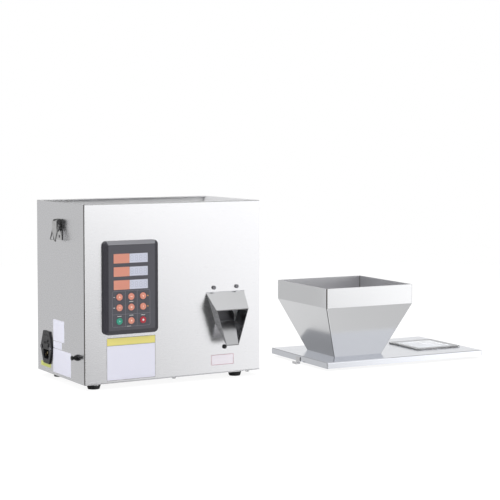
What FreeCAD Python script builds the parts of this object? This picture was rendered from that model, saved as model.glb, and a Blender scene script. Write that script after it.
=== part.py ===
"""Weighing filling machine: cabinet, vibrating feeder, weigh bucket, control unit and lid with hopper.

Millimetres, +Z up, table top at z = 0. The machine's front looks along -Y. The lid stands on the table on its
hopper's spout and its keepers, to the right of the cabinet. The origin is the middle of the set's footprint.
"""
import FreeCAD, Part
import math
import os

import Sketcher
from FreeCAD import Placement, Rotation, Vector

doc = FreeCAD.newDocument("weighing_filling_machine")
sheet = doc.addObject("Spreadsheet::Sheet", "sizes")

# Driving sizes: cell name, value, what it is
SIZES = [
    ("centre_x", 0, "footprint centre from the cabinet's left side, set once all is built"),
    ("centre_y", 0, "footprint centre from the front panel, set once all is built"),
    ("body_wide", 342, "cabinet width"),
    ("body_deep", 210, "cabinet depth"),
    ("body_high", 305, "cabinet height without the feet"),
    ("foot_high", 10, "rubber foot height"),
    ("sheet_thick", 1, "stainless sheet of cabinet, lid, hopper and chutes"),
    ("bend_round", 1.5, "outer radius of a sheet bend"),
    ("casing_round", 2.5, "outer radius of the casing's upright bends"),
    ("panel_inset", 1.2, "how far the front panel stays in from the cabinet's sides"),
    ("rim_return", 8, "fold along the top edge of front and back"),
    ("foot_return", 13, "fold along the bottom edges"),
    ("side_return", 12, "fold of the casing behind the front panel"),
    ("hole_play", 0.15, "clearance round a screw"),
    ("running_play", 0.05, "clearance round a pin that turns or slides"),
    ("part_play", 0.3, "clearance between pieces that move past each other"),
    ("foot_round", 12.5, "foot radius at the top"),
    ("foot_taper", 2.5, "how much less the radius is at the floor"),
    ("foot_side_gap", 26, "foot centre from the left side"),
    ("foot_right_gap", 40, "foot centre from the right side"),
    ("foot_front_gap", 22, "foot centre from the front"),
    ("foot_back_gap", 40, "foot centre from the back"),
    ("screw_round", 2, "M4 shank radius"),
    ("screw_head_round", 3.5, "pan head radius"),
    ("screw_head_high", 2.2, "pan head height"),
    ("screw_side_gap", 23, "edge screw from the side"),
    ("screw_edge_gap", 5.5, "edge screw from the front or back"),
    ("housing_left", 31.5, "control housing from the left side"),
    ("housing_low", 94, "control housing's lower edge above the table"),
    ("housing_wide", 101.5, "control housing width"),
    ("housing_high", 159, "control housing height"),
    ("housing_deep", 13, "how far the housing stands out"),
    ("housing_round", 8, "corner radius of the housing"),
    ("bevel_wide", 6.5, "bevel round the housing's face, across the face"),
    ("bevel_deep", 3, "bevel round the housing's face, in depth"),
    ("housing_wall", 4, "side wall of the housing"),
    ("housing_face", 3, "front wall of the housing"),
    ("overlay_thick", 0.4, "printed overlay"),
    ("window_left", 48, "display windows from the left side"),
    ("window_wide", 64.4, "display windows' width with the colour field"),
    ("field_wide", 29.7, "colour field left of the digits"),
    ("window_high", 16.3, "display window height"),
    ("window_pitch", 22.4, "from one display to the next"),
    ("window_top", 223.3, "centre of the top display"),
    ("key_round", 5.75, "key radius"),
    ("key_stand", 1.1, "how far a key stands out of the overlay"),
    ("key_flange", 1.25, "how much wider the key's hidden flange is"),
    ("key_left", 58.5, "left key column"),
    ("key_pitch", 22.1, "from one key column to the next"),
    ("key_top", 158, "top key row"),
    ("key_middle", 140, "middle key row"),
    ("key_bottom", 117, "bottom key row"),
    ("key_travel", 0.5, "key travel"),
    ("board_thick", 1.6, "circuit board"),
    ("board_gap", 6, "from the housing's front wall to the control board"),
    ("boss_round", 3.5, "boss that carries the control board"),
    ("switch_wide", 6, "key switch body"),
    ("switch_high", 3.3, "key switch height"),
    ("plunger_round", 1.7, "key switch plunger"),
    ("chute_gap", 71.5, "chute centre from the right side"),
    ("chute_top", 155, "chute hood at the panel"),
    ("chute_foot", 100, "chute floor at the panel"),
    ("chute_reach", 27, "how far the chute stands out"),
    ("mouth_top", 126, "top of the chute's open front"),
    ("mouth_low", 62, "lip of the chute"),
    ("chute_top_half", 38.5, "half width of the hood at the panel"),
    ("chute_foot_half", 21, "half width of the floor at the panel"),
    ("mouth_half", 32.5, "half width at the top of the open front"),
    ("chute_tab_high", 16, "fixing tab above the hood"),
    ("chute_screw_half", 23, "half the distance between the chute screws"),
    ("sensor_gap", 73, "sensor from the right side"),
    ("sensor_up", 57, "sensor above the table"),
    ("sensor_round", 2.4, "sensor body radius"),
    ("inlet_back", 163, "power inlet centre behind the front"),
    ("inlet_up", 55, "power inlet centre above the table"),
    ("inlet_body_wide", 27, "inlet body width"),
    ("inlet_body_high", 47, "inlet body height"),
    ("inlet_body_deep", 30, "inlet body depth in the cabinet"),
    ("inlet_flange_wide", 48, "inlet flange width"),
    ("inlet_flange_high", 58, "inlet flange height"),
    ("inlet_flange", 3, "inlet flange thickness"),
    ("inlet_screw_half", 20, "half the distance between the inlet screws"),
    ("socket_wide", 24.5, "appliance socket width"),
    ("socket_high", 16.5, "appliance socket height"),
    ("socket_deep", 17, "appliance socket depth"),
    ("socket_down", 12, "socket centre below the inlet's centre"),
    ("rocker_up", 15.6, "rocker centre above the inlet's centre"),
    ("rocker_wide", 18.6, "rocker width"),
    ("rocker_half", 5.3, "half height of the rocker"),
    ("rocker_tilt", 8, "rocker angle at rest"),
    ("drawer_up", 3.9, "fuse drawer centre above the inlet's centre"),
    ("drawer_wide", 21.4, "fuse drawer width"),
    ("drawer_high", 7, "fuse drawer height"),
    ("drawer_deep", 24, "fuse drawer depth"),
    ("pedal_back", 29, "pedal socket behind the front"),
    ("pedal_up", 54, "pedal socket above the table"),
    ("pedal_round", 4, "pedal socket's threaded neck"),
    ("pedal_bore", 3.25, "pedal socket bore radius"),
    ("plug_reach", 12, "how far the dust plug stands out"),
    ("latch_back", 104, "latch centre behind the front"),
    ("latch_drop", 32, "latch lever pivot below the cabinet's top edge"),
    ("latch_out", 5.5, "latch lever pivot out of the side"),
    ("latch_plate", 1.2, "sheet of the latch"),
    ("latch_half", 9.7, "half width of the latch lever"),
    ("lever_long", 36, "latch lever length"),
    ("loop_drop", 7, "loop pivot below the lever pivot"),
    ("loop_out", 1, "loop pivot further out than the lever pivot"),
    ("loop_long", 27, "loop length"),
    ("loop_wire", 1.25, "loop wire radius"),
    ("loop_lean", 14, "angle of the hanging loop"),
    ("rivet_round", 1.6, "shank radius of a latch rivet"),
    ("rivet_cap", 0.8, "height of a latch rivet's two heads"),
    ("rivet_drop", 12, "upper rivet below the lever pivot"),
    ("rivet_pitch", 15, "from one rivet to the other"),
    ("stand_left", 55, "feeder stand from the left side"),
    ("stand_wide", 130, "feeder stand width"),
    ("stand_deep", 66, "feeder stand depth"),
    ("stand_thick", 2, "feeder stand sheet"),
    ("stand_foot", 14, "feeder stand's feet outside its legs"),
    ("feeder_back", 105, "feeder centre behind the front"),
    ("feeder_lift", 82, "from the top of the vibrator base to the trough"),
    ("isolator_high", 10, "rubber isolator height"),
    ("isolator_round", 7, "rubber isolator radius"),
    ("vibrator_high", 28, "vibrator base height"),
    ("vibrator_wide", 116, "vibrator base length"),
    ("vibrator_deep", 54, "vibrator base depth"),
    ("spring_lean", 20, "lean of the leaf springs"),
    ("spring_long", 72, "leaf spring length"),
    ("spring_thick", 1.2, "leaf spring thickness"),
    ("spring_deep", 46, "leaf spring width"),
    ("spring_left", 82, "left leaf spring's foot from the left side"),
    ("seat_wide", 12, "thickness of the slanted spring seats and clamps"),
    ("seat_high", 14, "height of the spring seats along the spring"),
    ("clamp_high", 22, "height of the spring clamps along the spring"),
    ("spring_pitch", 84, "from one leaf spring to the other"),
    ("shake", 0.5, "the trough's travel each way"),
    ("trough_left", 38, "trough's closed end from the left side"),
    ("trough_gap", 106, "trough's open end from the right side"),
    ("trough_deep", 110, "trough width under the hopper"),
    ("trough_mouth", 62, "trough width at its open end"),
    ("trough_neck", 78, "length of the narrowing end"),
    ("trough_drop", 47, "underside of the trough below the cabinet's top edge"),
    ("trough_high", 29, "trough height"),
    ("magnet_wide", 34, "magnet core width"),
    ("magnet_deep", 28, "magnet core depth"),
    ("magnet_gap", 2.5, "gap between magnet and armature"),
    ("armature_high", 12, "armature under the trough"),
    ("coil_high", 20, "coil height"),
    ("coil_side", 5, "winding before and behind the core"),
    ("coil_cover", 5, "coil's top below the core's"),
    ("bucket_wide", 66, "weigh bucket width"),
    ("bucket_deep", 88, "weigh bucket depth at the top"),
    ("bucket_drop", 103, "bucket outlet below the cabinet's top edge"),
    ("bucket_high", 50, "bucket height"),
    ("bucket_band", 20, "straight part of the bucket"),
    ("outlet_deep", 36, "bucket outlet depth"),
    ("gate_drop", 1, "gate pivot below the outlet"),
    ("gate_arm", 16, "gate arm and crank length"),
    ("pin_round", 1.5, "hinge pin radius"),
    ("cell_long", 80, "load cell length"),
    ("cell_thick", 12.7, "load cell section"),
    ("cell_gap", 116, "load cell's free end from the right side"),
    ("cell_back", 162, "load cell behind the front"),
    ("cell_drop", 90, "load cell's underside below the cabinet's top edge"),
    ("cell_bore", 4.6, "radius of the load cell's double bore"),
    ("bore_half", 9, "half the distance between the two bores"),
    ("bracket_wide", 24, "width of the load cell's bracket"),
    ("bracket_thick", 2, "sheet of the bracket"),
    ("bracket_foot", 16, "bracket's foot on the base plate"),
    ("motor_round", 12, "gate motor radius"),
    ("inner_drop", 20.3, "inner chute's back end below the bucket outlet"),
    ("inner_long", 138, "depth of the inner chute's floor"),
    ("inner_half", 33, "half width of the inner chute's back end"),
    ("inner_wall", 12, "side wall of the inner chute"),
    ("inner_foot", 12, "inner chute's foot on the base plate"),
    ("supply_gap", 4, "power board from the feeder stand's legs"),
    ("supply_deep", 70, "power board depth"),
    ("supply_rise", 8, "power board above the base plate"),
    ("spacer_round", 3, "radius of the power board's spacers"),
    ("spacer_edge", 5, "spacer from the board's edge"),
    ("slot_wide", 3, "ventilation slot width"),
    ("slot_long", 44, "ventilation slot length"),
    ("slot_gap", 12, "first ventilation slot from the board's left end"),
    ("transformer_wide", 34, "transformer width"),
    ("transformer_deep", 28, "transformer depth"),
    ("transformer_high", 26, "transformer height"),
    ("terminal_left", 62, "terminal block from the board's left end"),
    ("terminal_wide", 40, "terminal block width"),
    ("terminal_deep", 14, "terminal block depth"),
    ("terminal_high", 22, "terminal block height"),
    ("can_left", 58, "first capacitor from the board's left end"),
    ("can_pitch", 16, "from one capacitor to the next"),
    ("can_round", 6, "capacitor radius"),
    ("can_high", 18, "capacitor height"),
    ("lid_right", 465.1, "lid's left front corner from the cabinet's left side"),
    ("lid_back", -32.7, "lid's left front corner behind the front panel"),
    ("lid_turn", -2.8, "lid's turn on the table"),
    ("lid_wide", 347, "lid width"),
    ("lid_deep", 214, "lid depth"),
    ("lid_high", 11, "lid height with its turned-down edge"),
    ("hopper_left", 100.2, "hopper centre from the lid's left edge"),
    ("hopper_top", 188, "hopper mouth"),
    ("hopper_foot", 104, "hopper outlet"),
    ("hopper_high", 134, "hopper height above the lid"),
    ("hopper_band", 36, "straight band of the hopper"),
    ("hopper_round", 2, "outer radius of the hopper's corner bends"),
    ("spout_drop", 5, "hopper's spout below the lid's edge, on which the lid stands"),
    ("pane_left", 285, "window centre from the lid's left edge"),
    ("pane_wide", 100, "window pane width"),
    ("pane_deep", 104, "window pane depth"),
    ("pane_thick", 2.5, "window pane thickness"),
    ("pane_overlap", 11, "pane overlap on the lid"),
    ("keeper_wide", 15, "keeper width"),
    ("keeper_out", 9, "how far a keeper stands out"),
    ("keeper_thick", 1.2, "keeper sheet"),
    ("keeper_lip", 4.5, "height of the keeper's turned-up lip"),
]


class Size:
    """A length that knows its value and the sheet formula that gives it."""

    def __init__(self, value, formula):
        self.value, self.formula = float(value), formula

    def mix(self, other, sign, value, swapped=False):
        text = other.formula if isinstance(other, Size) else repr(other)
        first, last = (text, self.formula) if swapped else (self.formula, text)
        return Size(value, f"({first} {sign} {last})")

    def __add__(self, other):
        return self.mix(other, "+", self.value + number(other))

    def __radd__(self, other):
        return self.mix(other, "+", number(other) + self.value, True)

    def __sub__(self, other):
        return self.mix(other, "-", self.value - number(other))

    def __rsub__(self, other):
        return self.mix(other, "-", number(other) - self.value, True)

    def __mul__(self, other):
        return self.mix(other, "*", self.value * number(other))

    def __rmul__(self, other):
        return self.mix(other, "*", number(other) * self.value, True)

    def __truediv__(self, other):
        return self.mix(other, "/", self.value / number(other))

    def __neg__(self):
        return Size(-self.value, f"(0 - {self.formula})")


def number(size):
    return size.value if isinstance(size, Size) else float(size)


def sine(angle):
    return Size(math.sin(math.radians(number(angle))), f"sin({angle.formula} * 1deg)")


def cosine(angle):
    return Size(math.cos(math.radians(number(angle))), f"cos({angle.formula} * 1deg)")


def slant(across, along):
    """Length of a slanted line over its run along, the factor for a wall cut at an angle."""
    value = math.hypot(number(across), number(along)) / number(along)
    return Size(value, f"(sqrt({across.formula} ^ 2 + {along.formula} ^ 2) / {along.formula})")


class Sheet:
    """The driving sizes by name."""


S = Sheet()
for row, (name, value, note) in enumerate(SIZES, 1):
    sheet.set(f"A{row}", note)
    sheet.set(f"B{row}", str(value))
    sheet.setAlias(f"B{row}", name)
    setattr(S, name, Size(value, f"sizes.{name}"))
doc.recompute()

NODES = []


def bind(item, path, size):
    """Tie a property to the sheet."""
    item.setExpression(path, size.formula if isinstance(size, Size) else repr(float(size)))


UP = Vector(0, 0, 1)
ACROSS = Vector(0, 1, 0)


def finish(item, name, where="cabinet", at=(0, 0, 0), axis=UP, turn=None):
    """Name a finished piece and put it in its place in the set."""
    item.Label = name
    NODES.append(item)
    x, y, z = at
    if where == "lid":
        x, y, z, turn = S.lid_right, S.lid_back, S.spout_drop, S.lid_turn
    if turn is not None:
        item.Placement = Placement(Vector(), Rotation(axis, number(turn)))
        bind(item, "Placement.Rotation.Angle", turn)
    bind(item, "Placement.Base.x", x - S.centre_x)
    bind(item, "Placement.Base.y", y - S.centre_y)
    bind(item, "Placement.Base.z", z)
    return item


# Part Design helpers

def body(name):
    return doc.addObject("PartDesign::Body", name)


def sketch(owner, plane, shift=0.0):
    """A sketch on one of the body's own planes, moved along that plane's normal.

    XY looks along +Z, XZ along -Y and YZ along +X.
    """
    new = owner.newObject("Sketcher::SketchObject", "Sketch")
    base = [item for item in owner.Origin.OriginFeatures if item.Role == plane + "_Plane"][0]
    new.AttachmentSupport = [(base, "")]
    new.MapMode = "FlatFace"
    bind(new, "AttachmentOffset.Base.z", shift)
    return new


def hold(new, kind, geometry, point, size):
    """Constrain one coordinate of a point to a size."""
    index = new.addConstraint(Sketcher.Constraint("Distance" + kind, -1, 1, geometry, point, number(size)))
    new.setExpression(f"Constraints[{index}]", size.formula if isinstance(size, Size) else repr(float(size)))


def outline(new, points):
    """A closed outline of straight edges."""
    first = new.GeometryCount
    count = len(points)
    flat = [Vector(number(x), number(y), 0) for x, y in points]
    for i in range(count):
        new.addGeometry(Part.LineSegment(flat[i], flat[(i + 1) % count]), False)
    for i in range(count):
        new.addConstraint(Sketcher.Constraint("Coincident", first + i, 2, first + (i + 1) % count, 1))
    for i, (x, y) in enumerate(points):
        hold(new, "X", first + i, 1, x)
        hold(new, "Y", first + i, 1, y)
    return new


def rectangle(new, left, low, wide, high):
    return outline(new, [(left, low), (left + wide, low), (left + wide, low + high), (left, low + high)])


def circle(new, x, y, radius):
    centre = Vector(number(x), number(y), 0)
    index = new.addGeometry(Part.Circle(centre, UP, number(radius)), False)
    hold(new, "X", index, 3, x)
    hold(new, "Y", index, 3, y)
    ring = new.addConstraint(Sketcher.Constraint("Radius", index, number(radius)))
    bind(new, f"Constraints[{ring}]", radius)
    return new


def extrude(owner, new, length, back=False, kind="Pad"):
    """Pad or pocket a sketch; back turns the direction round."""
    feature = owner.newObject("PartDesign::" + kind, kind)
    feature.Profile = new
    feature.Reversed = back
    bind(feature, "Length", length)
    doc.recompute()
    return feature


def cut_through(owner, new, length, back=False):
    """A pocket that has to take material away, along the sketch's normal or, with back, against it."""
    before = owner.Shape.Volume
    feature = extrude(owner, new, length, not back, "Pocket")
    if feature.Shape.Volume >= before:
        raise ValueError("pocket cut nothing in " + owner.Label)
    return feature


def dress(owner, kind, wanted, radius, second=None):
    """Fillet or chamfer the edges that the test picks."""
    base = owner.Tip
    names = [f"Edge{i}" for i, edge in enumerate(base.Shape.Edges, 1) if wanted(edge)]
    feature = owner.newObject("PartDesign::" + kind, kind)
    feature.Base = (base, names)
    if kind == "Fillet":
        bind(feature, "Radius", radius)
    else:
        bind(feature, "Size", radius)
        if second is not None:
            feature.ChamferType = "Two distances"
            bind(feature, "Size2", second)
    doc.recompute()
    return feature


def along(axis):
    """Test for straight edges along an axis."""
    def test(edge):
        straight = edge.Curve.TypeId == "Part::GeomLine"
        return straight and abs(getattr(edge.tangentAt(edge.FirstParameter), axis)) > 0.999
    return test


def at(axis, place, margin=1e-4):
    """Test for edges that lie in one plane across an axis."""
    low, high = axis.upper() + "Min", axis.upper() + "Max"

    def test(edge):
        return all(abs(getattr(edge.BoundBox, end) - number(place)) < margin for end in (low, high))
    return test


def both(*tests):
    return lambda edge: all(test(edge) for test in tests)


def either(*tests):
    return lambda edge: any(test(edge) for test in tests)


def turned(owner, plane, points, axis="V_Axis"):
    """A solid of revolution about one of the sketch's own axes."""
    new = outline(sketch(owner, plane), points)
    feature = owner.newObject("PartDesign::Revolution", "Revolution")
    feature.Profile = new
    feature.ReferenceAxis = (new, [axis])
    feature.Angle = 360
    doc.recompute()
    return feature


def loft(owner, sections, kind="AdditiveLoft"):
    feature = owner.newObject("PartDesign::" + kind, kind)
    feature.Profile = sections[0]
    feature.Sections = sections[1:]
    feature.Ruled = True
    doc.recompute()
    return feature


# Part helpers

def block(left, front, low, wide, deep, high):
    item = doc.addObject("Part::Box", "Box")
    for path, size in (("Length", wide), ("Width", deep), ("Height", high), ("Placement.Base.x", left),
                       ("Placement.Base.y", front), ("Placement.Base.z", low)):
        bind(item, path, size)
    return item


AXES = {"x": Rotation(Vector(0, 1, 0), 90), "y": Rotation(Vector(1, 0, 0), -90), "z": Rotation()}


def rod(axis, x, y, z, radius, length):
    """A cylinder from a point along +X, +Y or +Z."""
    item = doc.addObject("Part::Cylinder", "Cylinder")
    item.Placement = Placement(Vector(), AXES[axis])
    for path, size in (("Radius", radius), ("Height", length), ("Placement.Base.x", x),
                       ("Placement.Base.y", y), ("Placement.Base.z", z)):
        bind(item, path, size)
    return item


def hexagon(axis, x, y, z, radius, length):
    item = doc.addObject("Part::Prism", "Prism")
    item.Placement = Placement(Vector(), AXES[axis])
    item.Polygon = 6
    for path, size in (("Circumradius", radius), ("Height", length), ("Placement.Base.x", x),
                       ("Placement.Base.y", y), ("Placement.Base.z", z)):
        bind(item, path, size)
    return item


def join(*items):
    new = doc.addObject("Part::MultiFuse", "Fuse")
    new.Shapes = list(items)
    return new


def less(base, *tools):
    new = doc.addObject("Part::Cut", "Cut")
    new.Base = base
    new.Tool = tools[0] if len(tools) == 1 else join(*tools)
    return new


def group(items):
    """Like pieces that share one node, each a solid of its own."""
    new = doc.addObject("Part::Compound", "Compound")
    new.Links = list(items)
    return new


# Places that several pieces share

T = S.sheet_thick
PLAY = S.part_play
BASE_TOP = S.foot_high + T
TOP = S.foot_high + S.body_high
CHUTE_X = S.body_wide - S.chute_gap
SENSOR_X = S.body_wide - S.sensor_gap
LATCH_UP = TOP - S.latch_drop
TROUGH_UP = TOP - S.trough_drop
BUCKET_LOW = TOP - S.bucket_drop
CELL_LEFT = S.body_wide - S.cell_gap
CELL_UP = TOP - S.cell_drop
FACE = S.housing_deep
WALL_BACK = S.housing_deep - S.housing_face
BOARD_FRONT = WALL_BACK - S.board_gap
KEY_HOLE = S.key_round + PLAY
KEY_COLUMNS = [S.key_left + step * S.key_pitch for step in range(3)]
KEY_ROWS = [S.key_top, S.key_middle, S.key_bottom]
WINDOW_LOWS = [S.window_top - step * S.window_pitch - S.window_high / 2 for step in range(3)]
DIGITS_LEFT = S.window_left + S.field_wide
DIGITS_WIDE = S.window_wide - S.field_wide
EDGE_SCREWS_X = [S.screw_side_gap, S.body_wide / 2, S.body_wide - S.screw_side_gap]
EDGE_SCREWS = [(x, y) for x in EDGE_SCREWS_X for y in (S.screw_edge_gap, S.body_deep - S.screw_edge_gap)]
FEET = {
    "front_left": (S.foot_side_gap, S.foot_front_gap),
    "front_right": (S.body_wide - S.foot_right_gap, S.foot_front_gap),
    "back_left": (S.foot_side_gap, S.body_deep - S.foot_back_gap),
    "back_right": (S.body_wide - S.foot_right_gap, S.body_deep - S.foot_back_gap),
}
SCREW_HOLE = S.screw_round + S.hole_play
RIVET_DROPS = (S.rivet_drop, S.rivet_drop + S.rivet_pitch)
SUPPLY_LEFT = S.stand_left + S.stand_thick + S.supply_gap
SUPPLY_WIDE = S.stand_wide - 2 * (S.stand_thick + S.supply_gap)
SUPPLY_UP = BASE_TOP + S.supply_rise
HOOD_WALL = T * slant(S.chute_top - S.mouth_top, S.chute_reach)
FLOOR_WALL = T * slant(S.chute_foot - S.mouth_low, S.chute_reach)

# Front panel: one sheet with folds along its top and bottom edges

front = body("front_panel")
zb, zt = BASE_TOP, TOP
extrude(front, outline(sketch(front, "YZ", S.panel_inset), [
    (0, zb), (S.foot_return, zb), (S.foot_return, zb + T), (T, zb + T),
    (T, zt - T), (S.rim_return, zt - T), (S.rim_return, zt), (0, zt)]), S.body_wide - 2 * S.panel_inset)
dress(front, "Fillet", both(along("x"), at("y", 0)), S.bend_round)
inside_bends = both(along("x"), at("y", T), either(at("z", zb + T), at("z", zt - T)))
dress(front, "Fillet", inside_bends, S.bend_round - T)
corners = sketch(front, "XZ", -T)
notch = S.side_return + PLAY
rectangle(corners, 0, zb - 1, notch, S.body_high + 2)
rectangle(corners, S.body_wide - notch, zb - 1, notch, S.body_high + 2)
cut_through(front, corners, S.foot_return + 1, back=True)
holes = sketch(front, "XZ")
cable_edge = S.housing_wall + S.housing_round
rectangle(holes, S.housing_left + cable_edge, S.housing_low + cable_edge, S.housing_wide - 2 * cable_edge,
          S.housing_high - 2 * cable_edge)
floor_slope = (S.chute_foot - S.mouth_low) / (S.chute_reach + T)
opening_low, opening_high = S.chute_foot - floor_slope * T - PLAY, S.chute_top + PLAY
low_half, high_half = S.chute_foot_half + PLAY, S.chute_top_half + PLAY
outline(holes, [(CHUTE_X - low_half, opening_low), (CHUTE_X + low_half, opening_low),
                (CHUTE_X + high_half, opening_high), (CHUTE_X - high_half, opening_high)])
for side in (-1, 1):
    circle(holes, CHUTE_X + side * S.chute_screw_half, S.chute_top + S.chute_tab_high / 2, SCREW_HOLE)
circle(holes, SENSOR_X, S.sensor_up, S.sensor_round + S.hole_play)
cut_through(front, holes, T, back=True)
edge_holes = sketch(front, "XY", zb)
for x in EDGE_SCREWS_X:
    circle(edge_holes, x, S.screw_edge_gap, SCREW_HOLE)
cut_through(front, edge_holes, T)
finish(front, "front_panel")

# Outer casing: left side, back and right side bent from one sheet

casing = body("outer_casing")
w, d, back_edge = S.body_wide, S.body_deep, 2 * T
extrude(casing, outline(sketch(casing, "XY", zb), [
    (S.side_return, T), (0, T), (0, d), (w, d), (w, T), (w - S.side_return, T),
    (w - S.side_return, back_edge), (w - T, back_edge), (w - T, d - T), (T, d - T), (T, back_edge),
    (S.side_return, back_edge)]), zt - zb)
dress(casing, "Fillet", both(along("z"), either(at("x", 0), at("x", w))), S.casing_round)
dress(casing, "Fillet", both(along("z"), either(at("x", T), at("x", w - T))), S.casing_round - T)
inner_front = S.foot_return + 1
rim = sketch(casing, "XY", zb)
outline(rim, [
    (T, inner_front), (T, d - T), (w - T, d - T), (w - T, inner_front), (w - T - S.foot_return, inner_front),
    (w - T - S.foot_return, d - T - S.foot_return), (T + S.foot_return, d - T - S.foot_return),
    (T + S.foot_return, inner_front)])
extrude(casing, rim, T)
back_rim = rectangle(sketch(casing, "XY", zt), T, d - S.rim_return, w - 2 * T, S.rim_return - T)
extrude(casing, back_rim, T, back=True)
side_holes = sketch(casing, "YZ")
rectangle(side_holes, S.inlet_back - S.inlet_body_wide / 2 - 0.2, S.inlet_up - S.inlet_body_high / 2 - 0.2,
          S.inlet_body_wide + 0.4, S.inlet_body_high + 0.4)
for side in (-1, 1):
    circle(side_holes, S.inlet_back + side * S.inlet_screw_half, S.inlet_up, SCREW_HOLE)
circle(side_holes, S.pedal_back, S.pedal_up, S.pedal_round + S.hole_play)
for drop in RIVET_DROPS:
    circle(side_holes, S.latch_back, LATCH_UP - drop, S.rivet_round)
cut_through(casing, side_holes, T)
right_holes = sketch(casing, "YZ", w)
for drop in RIVET_DROPS:
    circle(right_holes, S.latch_back, LATCH_UP - drop, S.rivet_round)
cut_through(casing, right_holes, T, back=True)
rim_holes = sketch(casing, "XY", zb)
for x in EDGE_SCREWS_X:
    circle(rim_holes, x, S.body_deep - S.screw_edge_gap, SCREW_HOLE)
cut_through(casing, rim_holes, T)
finish(casing, "outer_casing")

# Base plate with ventilation slots and pressed-in spacers for the power board

plate = body("base_plate")
extrude(plate, rectangle(sketch(plate, "XY", S.foot_high), 0, 0, w, d), T)
dress(plate, "Fillet", along("z"), S.casing_round)
spacers = sketch(plate, "XY", BASE_TOP)
SPACERS = [(SUPPLY_LEFT + S.spacer_edge + i * (SUPPLY_WIDE - 2 * S.spacer_edge),
            S.feeder_back + j * (S.supply_deep / 2 - S.spacer_edge)) for i in (0, 1) for j in (-1, 1)]
for x, y in SPACERS:
    circle(spacers, x, y, S.spacer_round)
extrude(plate, spacers, SUPPLY_UP - BASE_TOP)
plate_holes = sketch(plate, "XY", BASE_TOP)
for x, y in list(FEET.values()) + EDGE_SCREWS:
    circle(plate_holes, x, y, SCREW_HOLE)
cut_through(plate, plate_holes, T, back=True)
slot = sketch(plate, "XY", BASE_TOP)
rectangle(slot, SUPPLY_LEFT + S.slot_gap, S.feeder_back - S.slot_long / 2, S.slot_wide, S.slot_long)
first_slot = cut_through(plate, slot, T, back=True)
slots = plate.newObject("PartDesign::LinearPattern", "Slots")
slots.Originals = [first_slot]
slots.Direction = (slot, ["H_Axis"])
bind(slots, "Length", SUPPLY_WIDE - 2 * S.slot_gap - 2 * S.slot_wide)
slots.Occurrences = 9
plate.Tip = slots
finish(plate, "base_plate")

# Rubber feet with a sunk screw each

for name, (x, y) in FEET.items():
    foot = body("foot")
    wide, low = S.foot_round, S.foot_round - S.foot_taper
    sunk = S.screw_head_round + 1
    turned(foot, "XZ", [
        (SCREW_HOLE, S.foot_high), (wide, S.foot_high), (wide, S.foot_high - 2.5), (low, 0), (sunk, 0),
        (sunk, S.foot_high / 2), (SCREW_HOLE, S.foot_high / 2)])
    finish(foot, "foot_" + name, at=(x, y, 0))


def pan_screw(axis, x, y, z, length, head_high=S.screw_head_high):
    """Head, shank and nut; the point is where the head seats, the shank runs along the axis."""
    step = {"x": (1, 0, 0), "y": (0, 1, 0), "z": (0, 0, 1)}[axis]
    head_at = [place - head_high * way for place, way in zip((x, y, z), step)]
    head = rod(axis, *head_at, S.screw_head_round, head_high)
    nut_at = [place + (length - 3.5) * way for place, way in zip((x, y, z), step)]
    nut = hexagon(axis, *nut_at, S.screw_head_round + 0.5, 3)
    return join(head, rod(axis, x, y, z, S.screw_round, length), nut)


finish(group([pan_screw("z", x, y, S.foot_high / 2, BASE_TOP + 3.5 - S.foot_high / 2)
              for x, y in FEET.values()]), "foot_screws")
finish(group([pan_screw("z", x, y, S.foot_high, BASE_TOP + T + 3.5 - S.foot_high)
              for x, y in EDGE_SCREWS]), "edge_screws")

# Control housing: a moulded shell with a bevelled edge, four bosses behind its face

housing = body("control_housing")
hl, hz, hw, hh = S.housing_left, S.housing_low, S.housing_wide, S.housing_high
extrude(housing, rectangle(sketch(housing, "XZ"), hl, hz, hw, hh), FACE)
dress(housing, "Fillet", along("y"), S.housing_round)
dress(housing, "Chamfer", at("y", -FACE), S.bevel_deep, S.bevel_wide)
wall = S.housing_wall
room = rectangle(sketch(housing, "XZ"), hl + wall, hz + wall, hw - 2 * wall, hh - 2 * wall)
cut_through(housing, room, WALL_BACK)
BOSSES = [(hl + wall + 8 + i * (hw - 2 * wall - 16), hz + wall + 8 + j * (hh - 2 * wall - 16))
          for i in (0, 1) for j in (0, 1)]
bosses = sketch(housing, "XZ", BOARD_FRONT)
for x, z in BOSSES:
    circle(bosses, x, z, S.boss_round)
extrude(housing, bosses, S.board_gap)
openings = sketch(housing, "XZ", WALL_BACK)
for x in KEY_COLUMNS:
    for z in KEY_ROWS:
        circle(openings, x, z, KEY_HOLE)
for low in WINDOW_LOWS:
    rectangle(openings, DIGITS_LEFT, low, DIGITS_WIDE, S.window_high)
cut_through(housing, openings, S.housing_face)
finish(housing, "control_housing")

# Printed overlay on the housing's face

overlay = body("keypad_overlay")
inset = S.bevel_wide + 1
film = rectangle(sketch(overlay, "XZ", FACE), hl + inset, hz + inset, hw - 2 * inset, hh - 2 * inset)
extrude(overlay, film, S.overlay_thick)
dress(overlay, "Fillet", along("y"), S.housing_round / 4)
openings = sketch(overlay, "XZ", FACE)
for x in KEY_COLUMNS:
    for z in KEY_ROWS:
        circle(openings, x, z, KEY_HOLE)
for low in WINDOW_LOWS:
    rectangle(openings, DIGITS_LEFT, low, DIGITS_WIDE, S.window_high)
cut_through(overlay, openings, S.overlay_thick)
finish(overlay, "keypad_overlay")

# Control board with its display modules and key switches

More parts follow.
